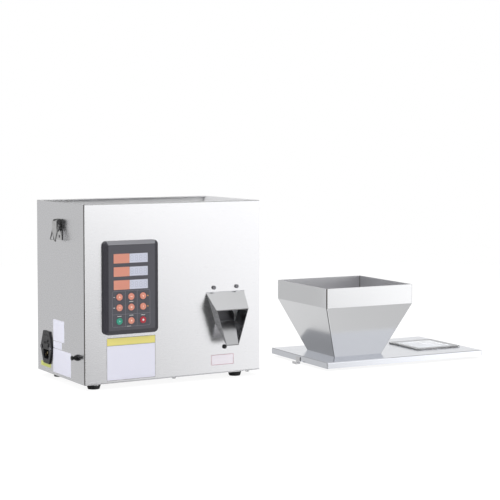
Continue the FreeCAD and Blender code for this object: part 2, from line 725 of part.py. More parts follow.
board_edge = wall + 2
board = less(block(hl + board_edge, -BOARD_FRONT, hz + board_edge, hw - 2 * board_edge, S.board_thick,
                   hh - 2 * board_edge),
             *[rod("y", x, -BOARD_FRONT, z, 1.6, S.board_thick) for x, z in BOSSES])
finish(board, "control_board")
finish(group([block(DIGITS_LEFT + PLAY, -FACE, low + PLAY, DIGITS_WIDE - 2 * PLAY,
                    FACE - BOARD_FRONT, S.window_high - 2 * PLAY) for low in WINDOW_LOWS]), "display_modules")
key_back = WALL_BACK - PLAY - 1
plunger_reach = key_back - S.key_travel - PLAY - BOARD_FRONT
switches = []
for x in KEY_COLUMNS:
    for z in KEY_ROWS:
        half = S.switch_wide / 2
        can = block(x - half, -BOARD_FRONT - S.switch_high, z - half, S.switch_wide, S.switch_high,
                    S.switch_wide)
        plunger = rod("y", x, -BOARD_FRONT - plunger_reach, z, S.plunger_round, plunger_reach)
        switches.append(join(can, plunger))
finish(group(switches), "key_switches")

# Nine keys, each held behind the housing's face by its flange

for row, z in zip(("top", "middle", "bottom"), KEY_ROWS):
    for column, x in zip(("left", "middle", "right"), KEY_COLUMNS):
        key = body("key")
        front_y = -(FACE + S.overlay_thick + S.key_stand)
        behind = -(WALL_BACK - PLAY)
        turned(key, "XY", [
            (0, -key_back), (S.key_round + S.key_flange, -key_back), (S.key_round + S.key_flange, behind),
            (S.key_round, behind), (S.key_round, front_y), (0, front_y)])
        dress(key, "Fillet", lambda edge: edge.BoundBox.XLength > 1 and at("y", front_y)(edge), 0.7)
        finish(key, f"key_{row}_{column}", at=(x, 0, z))

# Discharge chute: hood, two sides and a sloping floor, with a fixing tab behind the panel

chute = body("discharge_chute")
side_slope = (S.chute_top_half - S.chute_foot_half) / (S.chute_top - S.chute_foot)
side_wall = T * slant(S.chute_top_half - S.chute_foot_half, S.chute_top - S.chute_foot)


def chute_section(shift, top, top_half, low, high, wall):
    """Section across the chute; its sides keep one slope and pass top_half from the middle at top."""
    low_half, high_half = (top_half - (top - z) * side_slope - wall for z in (low, high))
    return outline(sketch(chute, "XZ", shift), [(CHUTE_X - low_half, low), (CHUTE_X + low_half, low),
                                                (CHUTE_X + high_half, high), (CHUTE_X - high_half, high)])


PANEL_END = (-T, S.chute_top, S.chute_top_half)
MOUTH_END = (S.chute_reach, S.mouth_top, S.mouth_half)
loft(chute, [chute_section(*PANEL_END, S.chute_foot, S.chute_top, 0),
             chute_section(*MOUTH_END, S.mouth_low, S.mouth_top, 0)])
loft(chute, [chute_section(*PANEL_END, S.chute_foot + FLOOR_WALL, S.chute_top - HOOD_WALL, side_wall),
             chute_section(*MOUTH_END, S.mouth_low + FLOOR_WALL, S.mouth_top - HOOD_WALL, side_wall)],
     "SubtractiveLoft")
tab = sketch(chute, "XZ", -T)
rectangle(tab, CHUTE_X - S.chute_top_half + 6, S.chute_top - HOOD_WALL, 2 * S.chute_top_half - 12,
          HOOD_WALL + S.chute_tab_high)
extrude(chute, tab, T, back=True)
tab_holes = sketch(chute, "XZ", -T)
for side in (-1, 1):
    circle(tab_holes, CHUTE_X + side * S.chute_screw_half, S.chute_top + S.chute_tab_high / 2, SCREW_HOLE)
cut_through(chute, tab_holes, T, back=True)
finish(chute, "discharge_chute")
tab_screw_up = S.chute_top + S.chute_tab_high / 2
finish(group([pan_screw("y", CHUTE_X + side * S.chute_screw_half, 0, tab_screw_up, 2 * T + 3.5)
              for side in (-1, 1)]), "chute_screws")

# Bag sensor: a small light sensor held by its nut

finish(join(rod("y", SENSOR_X, -1.5, S.sensor_up, S.sensor_round + 1.6, 1.5),
            rod("y", SENSOR_X, -3.5, S.sensor_up, S.sensor_round, 17),
            hexagon("y", SENSOR_X, T, S.sensor_up, S.sensor_round + 2.2, 2.5)), "bag_sensor")

# Power inlet: socket, rocker opening and fuse drawer opening in one moulding

inlet = body("power_inlet")
iy, iz = S.inlet_back, S.inlet_up
half_wide, half_high = S.inlet_flange_wide / 2, S.inlet_flange_high / 2
ear = 6
extrude(inlet, outline(sketch(inlet, "YZ"), [
    (iy - S.inlet_body_wide / 2, iz - half_high), (iy + S.inlet_body_wide / 2, iz - half_high),
    (iy + half_wide, iz - ear), (iy + half_wide, iz + ear), (iy + S.inlet_body_wide / 2, iz + half_high),
    (iy - S.inlet_body_wide / 2, iz + half_high), (iy - half_wide, iz + ear), (iy - half_wide, iz - ear)]),
    S.inlet_flange, back=True)
dress(inlet, "Chamfer", at("x", -S.inlet_flange), 0.8)
extrude(inlet, rectangle(sketch(inlet, "YZ"), iy - S.inlet_body_wide / 2, iz - S.inlet_body_high / 2,
                         S.inlet_body_wide, S.inlet_body_high), S.inlet_body_deep)
socket_up = iz - S.socket_down
sw, sh = S.socket_wide / 2, S.socket_high / 2
cut_through(inlet, outline(sketch(inlet, "YZ", -S.inlet_flange), [
    (iy - sw, socket_up + sh), (iy - sw, socket_up - sh + 4), (iy - sw + 4, socket_up - sh),
    (iy + sw - 4, socket_up - sh), (iy + sw, socket_up - sh + 4), (iy + sw, socket_up + sh)]), S.socket_deep)
rocker_z = iz + S.rocker_up
rocker_room = S.rocker_half + 0.9
cut_through(inlet, rectangle(sketch(inlet, "YZ", -S.inlet_flange), iy - S.rocker_wide / 2 - PLAY,
                             rocker_z - rocker_room, S.rocker_wide + 2 * PLAY, 2 * rocker_room), 10)
drawer_z = iz + S.drawer_up
drawer_room = rectangle(sketch(inlet, "YZ", -S.inlet_flange), iy - S.drawer_wide / 2 - PLAY,
                        drawer_z - S.drawer_high / 2 - PLAY, S.drawer_wide + 2 * PLAY,
                        S.drawer_high + 2 * PLAY)
cut_through(inlet, drawer_room, S.drawer_deep + 2 * PLAY)
pivot_x = -S.inlet_flange + 2.2
PINS = [(iy - 7, socket_up - 2), (iy, socket_up + 2), (iy + 7, socket_up - 2)]
pin_slots = sketch(inlet, "YZ", S.inlet_body_deep)
for y, z in PINS:
    rectangle(pin_slots, y - 1, z - 2, 2, 4)
cut_through(inlet, pin_slots, S.inlet_body_deep + S.inlet_flange, back=True)
screw_holes = sketch(inlet, "YZ")
for side in (-1, 1):
    circle(screw_holes, iy + side * S.inlet_screw_half, iz, SCREW_HOLE)
cut_through(inlet, screw_holes, S.inlet_flange, back=True)
cut_through(inlet, circle(sketch(inlet, "XZ", -(iy + S.rocker_wide / 2 + 1)), pivot_x, rocker_z,
                          1.2 + S.running_play), S.rocker_wide + 2)
finish(inlet, "power_inlet")
finish(group([block(-0.5, y - 1, z - 2, S.inlet_body_deep + 8, 2, 4) for y, z in PINS]), "inlet_pins")
finish(group([pan_screw("x", -S.inlet_flange, iy + side * S.inlet_screw_half, iz, S.inlet_flange + T + 3.5,
                        1.4) for side in (-1, 1)]), "inlet_screws")

# Rocker switch, tilted to its off side, on its two stub axles

rocker = body("rocker_switch")
rh = S.rocker_half
extrude(rocker, outline(sketch(rocker, "XZ", -S.rocker_wide / 2), [
    (3, -rh), (3, rh), (-3.2, rh), (-2.2, 0), (-3.2, -rh)]), S.rocker_wide)
extrude(rocker, circle(sketch(rocker, "XZ", -(S.rocker_wide / 2 + 0.9)), 0, 0, 1.2), S.rocker_wide + 1.8)
finish(rocker, "rocker_switch", at=(pivot_x, iy, rocker_z), axis=ACROSS, turn=S.rocker_tilt)

# Fuse drawer with its fuse lying in a groove

dw, dh = S.drawer_wide, S.drawer_high
drawer_x = -S.inlet_flange
drawer = less(join(block(drawer_x, iy - dw / 2, drawer_z - dh / 2, S.drawer_deep, dw, dh),
                   block(drawer_x - 1.2, iy - dw / 2 - 0.6, drawer_z - dh / 2 - 0.2, 1.2, dw + 1.2,
                         dh + 0.4)),
              block(drawer_x + 3, iy - 3, drawer_z - 2.5, 20, 6, dh),
              block(drawer_x - 1.2, iy - 4, drawer_z + dh / 2 - 0.8, 0.8, 8, 2))
fuse = rod("x", drawer_x + 3, iy, drawer_z + 0.3, 2.5, 20)
finish(group([drawer, fuse]), "fuse_drawer")

# Pedal socket through the left side, its nut and its dust plug

py, pz = S.pedal_back, S.pedal_up
finish(less(join(rod("x", -4, py, pz, S.pedal_round, 5), block(T, py - 6.5, pz - 6.5, 14, 13, 13)),
            rod("x", -4, py, pz, S.pedal_bore, 17)), "pedal_socket")
finish(less(rod("x", -2.4, py, pz, 5.5, 2.4), rod("x", -2.4, py, pz, S.pedal_round, 2.4)), "socket_nut")
plug = body("dust_plug")
turned(plug, "XY", [
    (0, 0), (3.75, 0), (3.75, 3), (2.6, 4.2), (2.6, S.plug_reach - 5.2),
    (S.pedal_round + 0.3, S.plug_reach - 5.2), (S.pedal_round + 0.3, S.plug_reach - 4.1),
    (S.pedal_bore - S.running_play, S.plug_reach - 4.1), (S.pedal_bore - S.running_play, S.plug_reach + 6),
    (1.5, S.plug_reach + 9), (0, S.plug_reach + 9)])
dress(plug, "Fillet", lambda edge: at("y", 0)(edge) and edge.BoundBox.XLength > 2, 0.8)
finish(plug, "dust_plug", at=(-S.plug_reach, py, pz), turn=-90)

# Draw latches on both sides: base with ears and pin, lever, wire loop

ears = S.latch_half - S.latch_plate - PLAY
lx, lz = -S.latch_out, LATCH_UP
base_half = 12


def latch_base():
    foot_plate = block(-S.latch_plate, -base_half, lz - 33, S.latch_plate, 2 * base_half, 37)
    pieces = [foot_plate, rod("y", lx, -S.latch_half, lz, S.pin_round, 2 * S.latch_half)]
    for front_side in (-ears, ears - S.latch_plate):
        pieces.append(block(lx, front_side, lz - 3, S.latch_out, S.latch_plate, 6))
        pieces.append(rod("y", lx, front_side, lz, 3, S.latch_plate))
    holes = [rod("x", -S.latch_plate, 0, lz - drop, S.rivet_round, S.latch_plate) for drop in RIVET_DROPS]
    return less(join(*pieces), *holes)


def latch_lever(owner):
    """A tapered channel whose sides straddle the ears."""
    inner = lx - 3.3
    extrude(owner, outline(sketch(owner, "YZ", inner), [
        (-S.latch_half, lz), (-S.latch_half, lz - 19), (-4, lz - S.lever_long), (4, lz - S.lever_long),
        (S.latch_half, lz - 19), (S.latch_half, lz)]), S.latch_plate, back=True)
    for shift in (-S.latch_half, S.latch_half - S.latch_plate):
        extrude(owner, outline(sketch(owner, "XZ", shift), [
            (inner, lz + 2), (inner, lz - 18.5), (inner + 2.5, lz - 18.5), (lx + 3, lz - 12),
            (lx + 3, lz + 1.5), (lx + 2, lz + 2.5)]), S.latch_plate)
    for x, z, pin in ((lx, lz, S.pin_round), (lx - S.loop_out, lz - S.loop_drop, S.loop_wire)):
        bore = circle(sketch(owner, "XZ", -base_half), x, z, pin + S.running_play)
        cut_through(owner, bore, 2 * base_half)
    tip = number(lz - S.lever_long)
    dress(owner, "Fillet", lambda edge: along("x")(edge) and abs(edge.BoundBox.ZMin - tip) < 1e-3, 2)


def elbow(y, z, bend, turn):
    """A quarter ring of wire round the X axis, from +Y to +Z before it is turned."""
    item = doc.addObject("Part::Torus", "Torus")
    item.Placement = Placement(Vector(), Rotation(Vector(1, 0, 0), turn) * Rotation(Vector(1, 1, 1), 120))
    item.Angle3 = 90
    for path, size in (("Radius1", bend), ("Radius2", S.loop_wire), ("Placement.Base.y", y),
                       ("Placement.Base.z", z)):
        bind(item, path, size)
    return item


def latch_loop():
    """Wire bent to a hanging U, its two ends turned in as pivots on the Y axis."""
    half, inner = S.latch_half + PLAY + S.loop_wire, S.latch_half - S.latch_plate
    tight, wide = 1.2 * S.loop_wire, 2.2 * S.loop_wire
    low = wide - S.loop_long
    pieces = [rod("y", 0, inner, 0, S.loop_wire, half - tight - inner),
              rod("y", 0, tight - half, 0, S.loop_wire, half - tight - inner),
              rod("z", 0, half, low, S.loop_wire, -tight - low),
              rod("z", 0, -half, low, S.loop_wire, -tight - low),
              rod("y", 0, wide - half, -S.loop_long, S.loop_wire, 2 * (half - wide))]
    corners = [(half - tight, -tight, tight), (tight - half, -tight, tight), (wide - half, low, wide),
               (half - wide, low, wide)]
    return join(*pieces, *[elbow(*corner, 90 * step) for step, corner in enumerate(corners)])


for side, way, edge_x, facing in (("left", -1, 0, None), ("right", 1, S.body_wide, 180)):
    finish(latch_base(), "latch_base_" + side, at=(edge_x, S.latch_back, 0), turn=facing)
    lever = body("latch_lever")
    latch_lever(lever)
    finish(lever, "latch_lever_" + side, at=(edge_x, S.latch_back, 0), turn=facing)
    loop_x = edge_x + way * (S.latch_out + S.loop_out)
    finish(latch_loop(), "latch_loop_" + side, at=(loop_x, S.latch_back, lz - S.loop_drop), axis=ACROSS,
           turn=-way * S.loop_lean)


def stub(start, end, z, radius):
    """A rod along X between two places given in either order."""
    low, high = (start, end) if number(start) < number(end) else (end, start)
    return rod("x", low, S.latch_back, z, radius, high - low)


def rivet(side_x, inward, z):
    """Head on the latch base, shank through both sheets and the formed end inside."""
    outside, inside = side_x - inward * S.latch_plate, side_x + inward * T
    return join(stub(outside - inward * S.rivet_cap, outside, z, 1.6 * S.rivet_round),
                stub(outside, inside, z, S.rivet_round),
                stub(inside, inside + inward * S.rivet_cap, z, 1.5 * S.rivet_round))


finish(group([rivet(side_x, inward, lz - drop) for side_x, inward in ((0, 1), (S.body_wide, -1))
              for drop in RIVET_DROPS]), "latch_rivets")

# Feeder stand: a bridge of thick sheet on the base plate

stand = body("feeder_stand")
left, right, thick, toe = S.stand_left, S.stand_left + S.stand_wide, S.stand_thick, S.stand_foot
stand_top = TROUGH_UP - S.feeder_lift - S.vibrator_high - S.isolator_high
extrude(stand, outline(sketch(stand, "XZ", -(S.feeder_back + S.stand_deep / 2)), [
    (left - toe, BASE_TOP), (left + thick, BASE_TOP), (left + thick, stand_top - thick),
    (right - thick, stand_top - thick), (right - thick, BASE_TOP), (right + toe, BASE_TOP),
    (right + toe, BASE_TOP + thick), (right, BASE_TOP + thick), (right, stand_top), (left, stand_top),
    (left, BASE_TOP + thick), (left - toe, BASE_TOP + thick)]), S.stand_deep)
dress(stand, "Fillet", both(along("y"), at("z", stand_top)), 3)
finish(stand, "feeder_stand")

# Vibrator base on four rubber isolators, with slanted seats for the leaf springs

vl = S.stand_left + (S.stand_wide - S.vibrator_wide) / 2
vy = S.feeder_back - S.vibrator_deep / 2
vib_low = stand_top + S.isolator_high
vib_top = vib_low + S.vibrator_high
ISOLATORS = [(vl + 12 + i * (S.vibrator_wide - 24), S.feeder_back + j * (S.vibrator_deep / 2 - 9))
             for i in (0, 1) for j in (-1, 1)]
finish(group([rod("z", x, y, stand_top, S.isolator_round, S.isolator_high)
              for x, y in ISOLATORS]), "isolators")
lean_x, lean_z = sine(S.spring_lean), cosine(S.spring_lean)
SPRINGS = [S.spring_left + i * S.spring_pitch for i in (0, 1)]


def leaning(owner, foot_x, foot_z, start, end, thick, deep):
    """A slanted slab: start and end are lengths up the spring's lean, thick is centred on it."""
    across = thick / 2 / lean_z
    outline_points = []
    for length, way in ((start, -1), (start, 1), (end, 1), (end, -1)):
        outline_points.append((foot_x - length * lean_x + way * across, foot_z + length * lean_z))
    return outline(sketch(owner, "XZ", -(S.feeder_back + deep / 2)), outline_points)


vibrator = body("vibrator_base")
extrude(vibrator, rectangle(sketch(vibrator, "XZ", -(S.feeder_back + S.vibrator_deep / 2)), vl, vib_low,
                            S.vibrator_wide, S.vibrator_high), S.vibrator_deep)
dress(vibrator, "Fillet", along("z"), 4)
for foot_x in SPRINGS:
    seat = leaning(vibrator, foot_x, vib_top, -4, S.seat_high, S.seat_wide, S.spring_deep)
    extrude(vibrator, seat, S.spring_deep)
for foot_x in SPRINGS:
    seat_slot = leaning(vibrator, foot_x, vib_top, 0, S.seat_high + 2, S.spring_thick, S.spring_deep + 2)
    cut_through(vibrator, seat_slot, S.spring_deep + 2)
finish(vibrator, "vibrator_base")

springs = []
for foot_x in SPRINGS:
    spring = doc.addObject("Part::Box", "Spring")
    spring.Placement = Placement(Vector(), Rotation(Vector(0, 1, 0), -number(S.spring_lean)))
    bind(spring, "Placement.Rotation.Angle", -S.spring_lean)
    half_leaf = S.spring_thick / 2
    for path, size in (("Length", S.spring_thick), ("Width", S.spring_deep), ("Height", S.spring_long - 1),
                       ("Placement.Base.x", foot_x - lean_x * 0.5 - half_leaf * lean_z),
                       ("Placement.Base.y", S.feeder_back - S.spring_deep / 2),
                       ("Placement.Base.z", vib_top + lean_z * 0.5 - half_leaf * lean_x)):
        bind(spring, path, size)
    springs.append(spring)
finish(group(springs), "leaf_springs")

# Electromagnet between the springs

mx = S.spring_left + S.spring_pitch / 2 - S.magnet_wide / 2 - S.spring_long * lean_x / 2
mw, md, my = S.magnet_wide, S.magnet_deep, S.feeder_back - S.magnet_deep / 2
armature_low = TROUGH_UP - S.armature_high
core_top = armature_low - S.magnet_gap
coil_low = core_top - S.coil_cover - S.coil_high
limb = mw / 5
finish(less(block(mx, my, vib_top, mw, md, core_top - vib_top),
            block(mx + limb, my, coil_low - 1, limb, md, core_top - coil_low + 1),
            block(mx + 3 * limb, my, coil_low - 1, limb, md, core_top - coil_low + 1)), "magnet_core")
finish(less(block(mx + limb + PLAY, my - S.coil_side, coil_low, 3 * limb - 2 * PLAY, md + 2 * S.coil_side,
                  S.coil_high),
            block(mx + 2 * limb - PLAY, my - PLAY, coil_low, limb + 2 * PLAY, md + 2 * PLAY, S.coil_high)),
       "magnet_coil")

# Feed trough: a wide channel that narrows to its open end, with spring brackets and the armature below

trough = body("feed_trough")
tl, tr, ty = S.trough_left, S.body_wide - S.trough_gap, S.feeder_back
neck = tr - S.trough_neck


def trough_plan(shift, wall, past):
    return outline(sketch(trough, "XY", shift), [
        (tl + wall, ty - S.trough_deep / 2 + wall), (neck, ty - S.trough_deep / 2 + wall),
        (tr + past, ty - S.trough_mouth / 2 + wall), (tr + past, ty + S.trough_mouth / 2 - wall),
        (neck, ty + S.trough_deep / 2 - wall), (tl + wall, ty + S.trough_deep / 2 - wall)])


extrude(trough, trough_plan(TROUGH_UP, 0, 0), S.trough_high)
cut_through(trough, trough_plan(TROUGH_UP + S.trough_high, T, 0.5 * T), S.trough_high - T, back=True)
high_end = S.feeder_lift / lean_z
clamp_low = high_end - S.clamp_high
for foot_x in SPRINGS:
    clamp = leaning(trough, foot_x, vib_top, clamp_low, high_end, S.seat_wide, S.spring_deep)
    extrude(trough, clamp, S.spring_deep)
shake_room = S.spring_thick + 2 * (S.shake + 0.2)
for foot_x in SPRINGS:
    cut_through(trough, leaning(trough, foot_x, vib_top, clamp_low - 1, S.spring_long + 1, shake_room,
                                S.spring_deep + 2), S.spring_deep + 2)
extrude(trough, rectangle(sketch(trough, "XY", TROUGH_UP), mx, my, mw, md), S.armature_high, back=True)
finish(trough, "feed_trough")

# Weigh bucket: straight sides, sloping front and back, open outlet, tab to the load cell and two hinge ears

bucket = body("weigh_bucket")
bl = CHUTE_X - S.bucket_wide / 2
by, bz = S.feeder_back, BUCKET_LOW
b_top, b_band = BUCKET_LOW + S.bucket_high, BUCKET_LOW + S.bucket_high - S.bucket_band
gate_y, gate_z = by + S.outlet_deep / 2 + 3, BUCKET_LOW - S.gate_drop


def bucket_profile(shift, wall, rise):
    return outline(sketch(bucket, "YZ", shift), [
        (by - S.outlet_deep / 2 + wall, bz - rise), (by + S.outlet_deep / 2 - wall, bz - rise),
        (by + S.outlet_deep / 2 - wall, bz), (by + S.bucket_deep / 2 - wall, b_band),
        (by + S.bucket_deep / 2 - wall, b_top + rise), (by - S.bucket_deep / 2 + wall, b_top + rise),
        (by - S.bucket_deep / 2 + wall, b_band), (by - S.outlet_deep / 2 + wall, bz)])


def plain_profile(shift):
    return outline(sketch(bucket, "YZ", shift), [
        (by - S.outlet_deep / 2, bz), (by + S.outlet_deep / 2, bz), (by + S.bucket_deep / 2, b_band),
        (by + S.bucket_deep / 2, b_top), (by - S.bucket_deep / 2, b_top), (by - S.bucket_deep / 2, b_band)])


extrude(bucket, plain_profile(bl), S.bucket_wide)
cut_through(bucket, bucket_profile(bl + T, T, T), S.bucket_wide - 2 * T)
tab_wide, tab_thick, bucket_back = 20, 2 * T, by + S.bucket_deep / 2 - T
tab_low = b_band + 2
extrude(bucket, rectangle(sketch(bucket, "XY", tab_low), CELL_LEFT, bucket_back, tab_wide,
                          S.cell_back - bucket_back), tab_thick)
extrude(bucket, rectangle(sketch(bucket, "XY", CELL_UP), CELL_LEFT, S.cell_back - tab_thick, tab_wide,
                          tab_thick), tab_low + tab_thick - CELL_UP)
EARS = (bl + 8, bl + S.bucket_wide - 10)
for ear_x in EARS:
    extrude(bucket, outline(sketch(bucket, "YZ", ear_x), [
        (gate_y - 3.5, gate_z), (gate_y - 2.5, gate_z - 3), (gate_y + 2.5, gate_z - 3),
        (gate_y + 3.5, gate_z), (gate_y + 4, gate_z + 6), (gate_y - 3, gate_z + 2)]), 2)
extrude(bucket, circle(sketch(bucket, "YZ", bl - 1), gate_y, gate_z, S.pin_round), S.bucket_wide + 2)
finish(bucket, "weigh_bucket")

# Bucket gate: flap with knuckles round the pin and an arm for the crank

gate = body("bucket_gate")
knuckle = 2.4
gl, gr = bl + 1, bl + S.bucket_wide - 1
gate_top = BUCKET_LOW - PLAY
extrude(gate, rectangle(sketch(gate, "XY", gate_top), gl, by - S.outlet_deep / 2 - 2,
                        gr - gl, S.outlet_deep + 1.0), T, back=True)
STRETCHES = [(gl, EARS[0] - PLAY), (EARS[0] + 2 + PLAY, EARS[1] - PLAY), (EARS[1] + 2 + PLAY, gr + 3)]
for start, end in STRETCHES:
    extrude(gate, circle(sketch(gate, "YZ", start), gate_y, gate_z, knuckle), end - start)
for start, end in STRETCHES[:2] + [(STRETCHES[2][0], gr)]:
    extrude(gate, rectangle(sketch(gate, "XY", gate_top), start, by + S.outlet_deep / 2 - 1.5,
                            end - start, 3), T, back=True)
extrude(gate, outline(sketch(gate, "YZ", gr + 1.5), [
    (gate_y - 2, gate_z - 2.4), (gate_y + S.gate_arm, gate_z - 2.4), (gate_y + S.gate_arm + 2.4, gate_z),
    (gate_y + S.gate_arm, gate_z + 2.4), (gate_y - 2, gate_z + 2.4)]), 1.5)
extrude(gate, circle(sketch(gate, "YZ", gr + 3), gate_y + S.gate_arm, gate_z, 2), 4)
cut_through(gate, circle(sketch(gate, "YZ", bl - 2), gate_y, gate_z, S.pin_round + S.running_play),
            S.bucket_wide + 8)
finish(gate, "bucket_gate")

# Crank and its motor: the crank's roller lifts the gate's arm from below, both with the same length

crank_z = gate_z - (2 + 3 + PLAY)
crank_x = gr + 3 + 4 + 2 * PLAY
finish(join(rod("x", crank_x, gate_y, crank_z, 4, 2.2),
            block(crank_x, gate_y, crank_z - 2.5, 2.2, S.gate_arm, 5),
            rod("x", crank_x, gate_y + S.gate_arm, crank_z, 2.5, 2.2),
            rod("x", crank_x - 3.5, gate_y + S.gate_arm, crank_z, 3, 3.5),
            rod("x", crank_x + 2.2, gate_y, crank_z, 2, 1.2)), "gate_crank")
motor_x = crank_x + 3.4
motor_end = S.body_wide - T
motor_plate = 2 * S.motor_round + 8
finish(join(rod("x", motor_x, gate_y, crank_z, S.motor_round, motor_end - motor_x),
            block(motor_end - 2 * T, gate_y - motor_plate / 2, crank_z - motor_plate / 2, 2 * T, motor_plate,
                  motor_plate)), "gate_motor")

# Load cell: a bar with a double bore, and the bracket that carries its fixed end

cell_middle, bores_up = CELL_LEFT + S.cell_long / 2, CELL_UP + S.cell_thick / 2
finish(less(block(CELL_LEFT, S.cell_back, CELL_UP, S.cell_long, S.cell_thick, S.cell_thick),
            rod("y", cell_middle - S.bore_half, S.cell_back, bores_up, S.cell_bore, S.cell_thick),
            rod("y", cell_middle + S.bore_half, S.cell_back, bores_up, S.cell_bore, S.cell_thick),
            block(cell_middle - S.bore_half, S.cell_back, bores_up - T, 2 * S.bore_half, S.cell_thick,
                  2 * T)),
       "load_cell")
bracket = body("cell_bracket")
bracket_left, bracket_back = CELL_LEFT + S.cell_long - S.bracket_wide + 2, S.cell_back + S.cell_thick
foot_low, foot_end, sheet_back = BASE_TOP + T, bracket_back + S.bracket_foot, bracket_back + S.bracket_thick
extrude(bracket, outline(sketch(bracket, "YZ", bracket_left), [
    (bracket_back, foot_low), (foot_end, foot_low), (foot_end, foot_low + S.bracket_thick),
    (sheet_back, foot_low + S.bracket_thick), (sheet_back, CELL_UP + S.cell_thick),
    (bracket_back, CELL_UP + S.cell_thick)]), S.bracket_wide)
rib_low, rib_high = foot_low + S.bracket_thick, CELL_UP - S.bracket_wide
rib = outline(sketch(bracket, "YZ", bracket_left + S.bracket_wide / 2 - T), [
    (sheet_back, rib_low), (foot_end, rib_low), (sheet_back, rib_high)])
extrude(bracket, rib, 2 * T)
extrude(bracket, rectangle(sketch(bracket, "XY", BASE_TOP), bracket_left, bracket_back, S.bracket_wide,
                           S.bracket_foot / 2), T)
finish(bracket, "cell_bracket")

# Inner chute: from under the bucket down to the opening in the front panel

inner = body("inner_chute")
low_back = S.inner_long + 2
low_z = S.chute_foot + FLOOR_WALL
high_z = BUCKET_LOW - S.inner_drop
floor_up = T * slant(high_z - low_z, S.inner_long)


def tray_section(shift, half, low, high):
    return rectangle(sketch(inner, "XZ", shift), CHUTE_X - half, low, 2 * half, high - low)


half_front = S.chute_foot_half - T - PLAY
tab_back = 2 * T + PLAY
loft(inner, [tray_section(-tab_back, half_front, low_z, low_z + S.inner_wall),
             tray_section(-low_back, S.inner_half, high_z, high_z + S.inner_wall)])
loft(inner, [tray_section(-tab_back, half_front - T, low_z + floor_up, low_z + S.inner_wall + 2),
             tray_section(-low_back, S.inner_half - T, high_z + floor_up, high_z + S.inner_wall + 2)],
     "SubtractiveLoft")
extrude(inner, rectangle(sketch(inner, "XZ", -low_back), CHUTE_X - S.inner_half, BASE_TOP, 2 * S.inner_half,
                         high_z + S.inner_wall - BASE_TOP), T, back=True)
inner_foot = rectangle(sketch(inner, "XY", BASE_TOP), CHUTE_X - S.inner_half, low_back + T, 2 * S.inner_half,
                       S.inner_foot)
extrude(inner, inner_foot, T)
finish(inner, "inner_chute")

# Power board on the base plate's spacers

parts_up = SUPPLY_UP + S.board_thick
pieces = [block(SUPPLY_LEFT, S.feeder_back - S.supply_deep / 2, SUPPLY_UP, SUPPLY_WIDE, S.supply_deep,
                S.board_thick),
          block(SUPPLY_LEFT + S.slot_gap, S.feeder_back - S.transformer_deep + 4, parts_up,
                S.transformer_wide, S.transformer_deep, S.transformer_high),
          block(SUPPLY_LEFT + S.terminal_left, S.feeder_back + S.terminal_deep, parts_up, S.terminal_wide,
                S.terminal_deep, S.terminal_high)]
for step in range(3):
    can_x = SUPPLY_LEFT + S.can_left + step * S.can_pitch
    pieces.append(rod("z", can_x, S.feeder_back - S.can_high, parts_up, S.can_round, S.can_high))
finish(join(*pieces), "power_board")

# Lid: a sheet with a turned-down edge, with holes for the hopper and the window

lid = body("lid_plate")
lw, ld, lh = S.lid_wide, S.lid_deep, S.lid_high
extrude(lid, rectangle(sketch(lid, "XY"), 0, 0, lw, ld), lh)
dress(lid, "Fillet", either(along("z"), at("z", lh)), S.bend_round)
cut_through(lid, rectangle(sketch(lid, "XY"), T, T, lw - 2 * T, ld - 2 * T), lh - T)
lid_holes = sketch(lid, "XY", lh)
outlet = S.hopper_foot - 2 * T
hx, hy = S.hopper_left, S.lid_deep / 2
rectangle(lid_holes, hx - outlet / 2, hy - outlet / 2, outlet, outlet)
pane_x, pane_y = S.pane_left - S.pane_wide / 2, S.lid_deep / 2 - S.pane_deep / 2
rectangle(lid_holes, pane_x + S.pane_overlap, pane_y + S.pane_overlap, S.pane_wide - 2 * S.pane_overlap,
          S.pane_deep - 2 * S.pane_overlap)
cut_through(lid, lid_holes, T, back=True)
finish(lid, "lid_plate", "lid")

# Hopper: tapered sheets with a straight band and bent corners, its spout welded into the lid

mid, rim_z = lh + S.hopper_high - S.hopper_band, lh + S.hopper_high
spread = (S.hopper_top - S.hopper_foot) / 2
lean = spread / (S.hopper_high - S.hopper_band)
slope_wall = T * slant(spread, S.hopper_high - S.hopper_band)


def at_corner(edge):
    """The upright and slanted edges where two of the hopper's sheets meet."""
    box = edge.BoundBox
    return box.ZLength > 1 and abs(box.XLength - box.YLength) < 1e-3


def funnel(foot_up, half_foot, bend_up, half_top, radius):
    """A solid square funnel: tapered below, upright above, its corners rounded."""
    solid = body("funnel")
    extrude(solid, outline(sketch(solid, "XZ", -(hy + half_top)), [
        (hx - half_foot, foot_up), (hx + half_foot, foot_up), (hx + half_top, bend_up),
        (hx + half_top, rim_z), (hx - half_top, rim_z), (hx - half_top, bend_up)]), 2 * half_top)
    for way in (-1, 1):
        wedge = [(hy + way * half_top, foot_up), (hy + way * half_foot, foot_up),
                 (hy + way * half_top, bend_up)]
        cut_through(solid, outline(sketch(solid, "YZ", hx - half_top), wedge), 2 * half_top)
    dress(solid, "Fillet", at_corner, radius)
    return solid


def upright(half, low, high):
    return block(hx - half, hy - half, low, 2 * half, 2 * half, high - low)


outside = funnel(lh, S.hopper_foot / 2, mid, S.hopper_top / 2, S.hopper_round)
inside = funnel(lh + T, S.hopper_foot / 2 + T * lean - slope_wall, mid + (slope_wall - T) / lean,
                S.hopper_top / 2 - T, S.hopper_round - T)
finish(less(join(outside, upright(outlet / 2, -S.spout_drop, lh)), inside,
            upright(outlet / 2 - T, -S.spout_drop, lh + T)), "hopper", "lid")

# Inspection window over the weigh bucket

pane = body("inspection_window")
extrude(pane, rectangle(sketch(pane, "XY", lh), pane_x, pane_y, S.pane_wide, S.pane_deep), S.pane_thick)
dress(pane, "Fillet", along("z"), 3)
dress(pane, "Chamfer", at("z", lh + S.pane_thick), 0.5)
finish(pane, "inspection_window", "lid")

# Keepers for the latch loops, one under each end of the lid


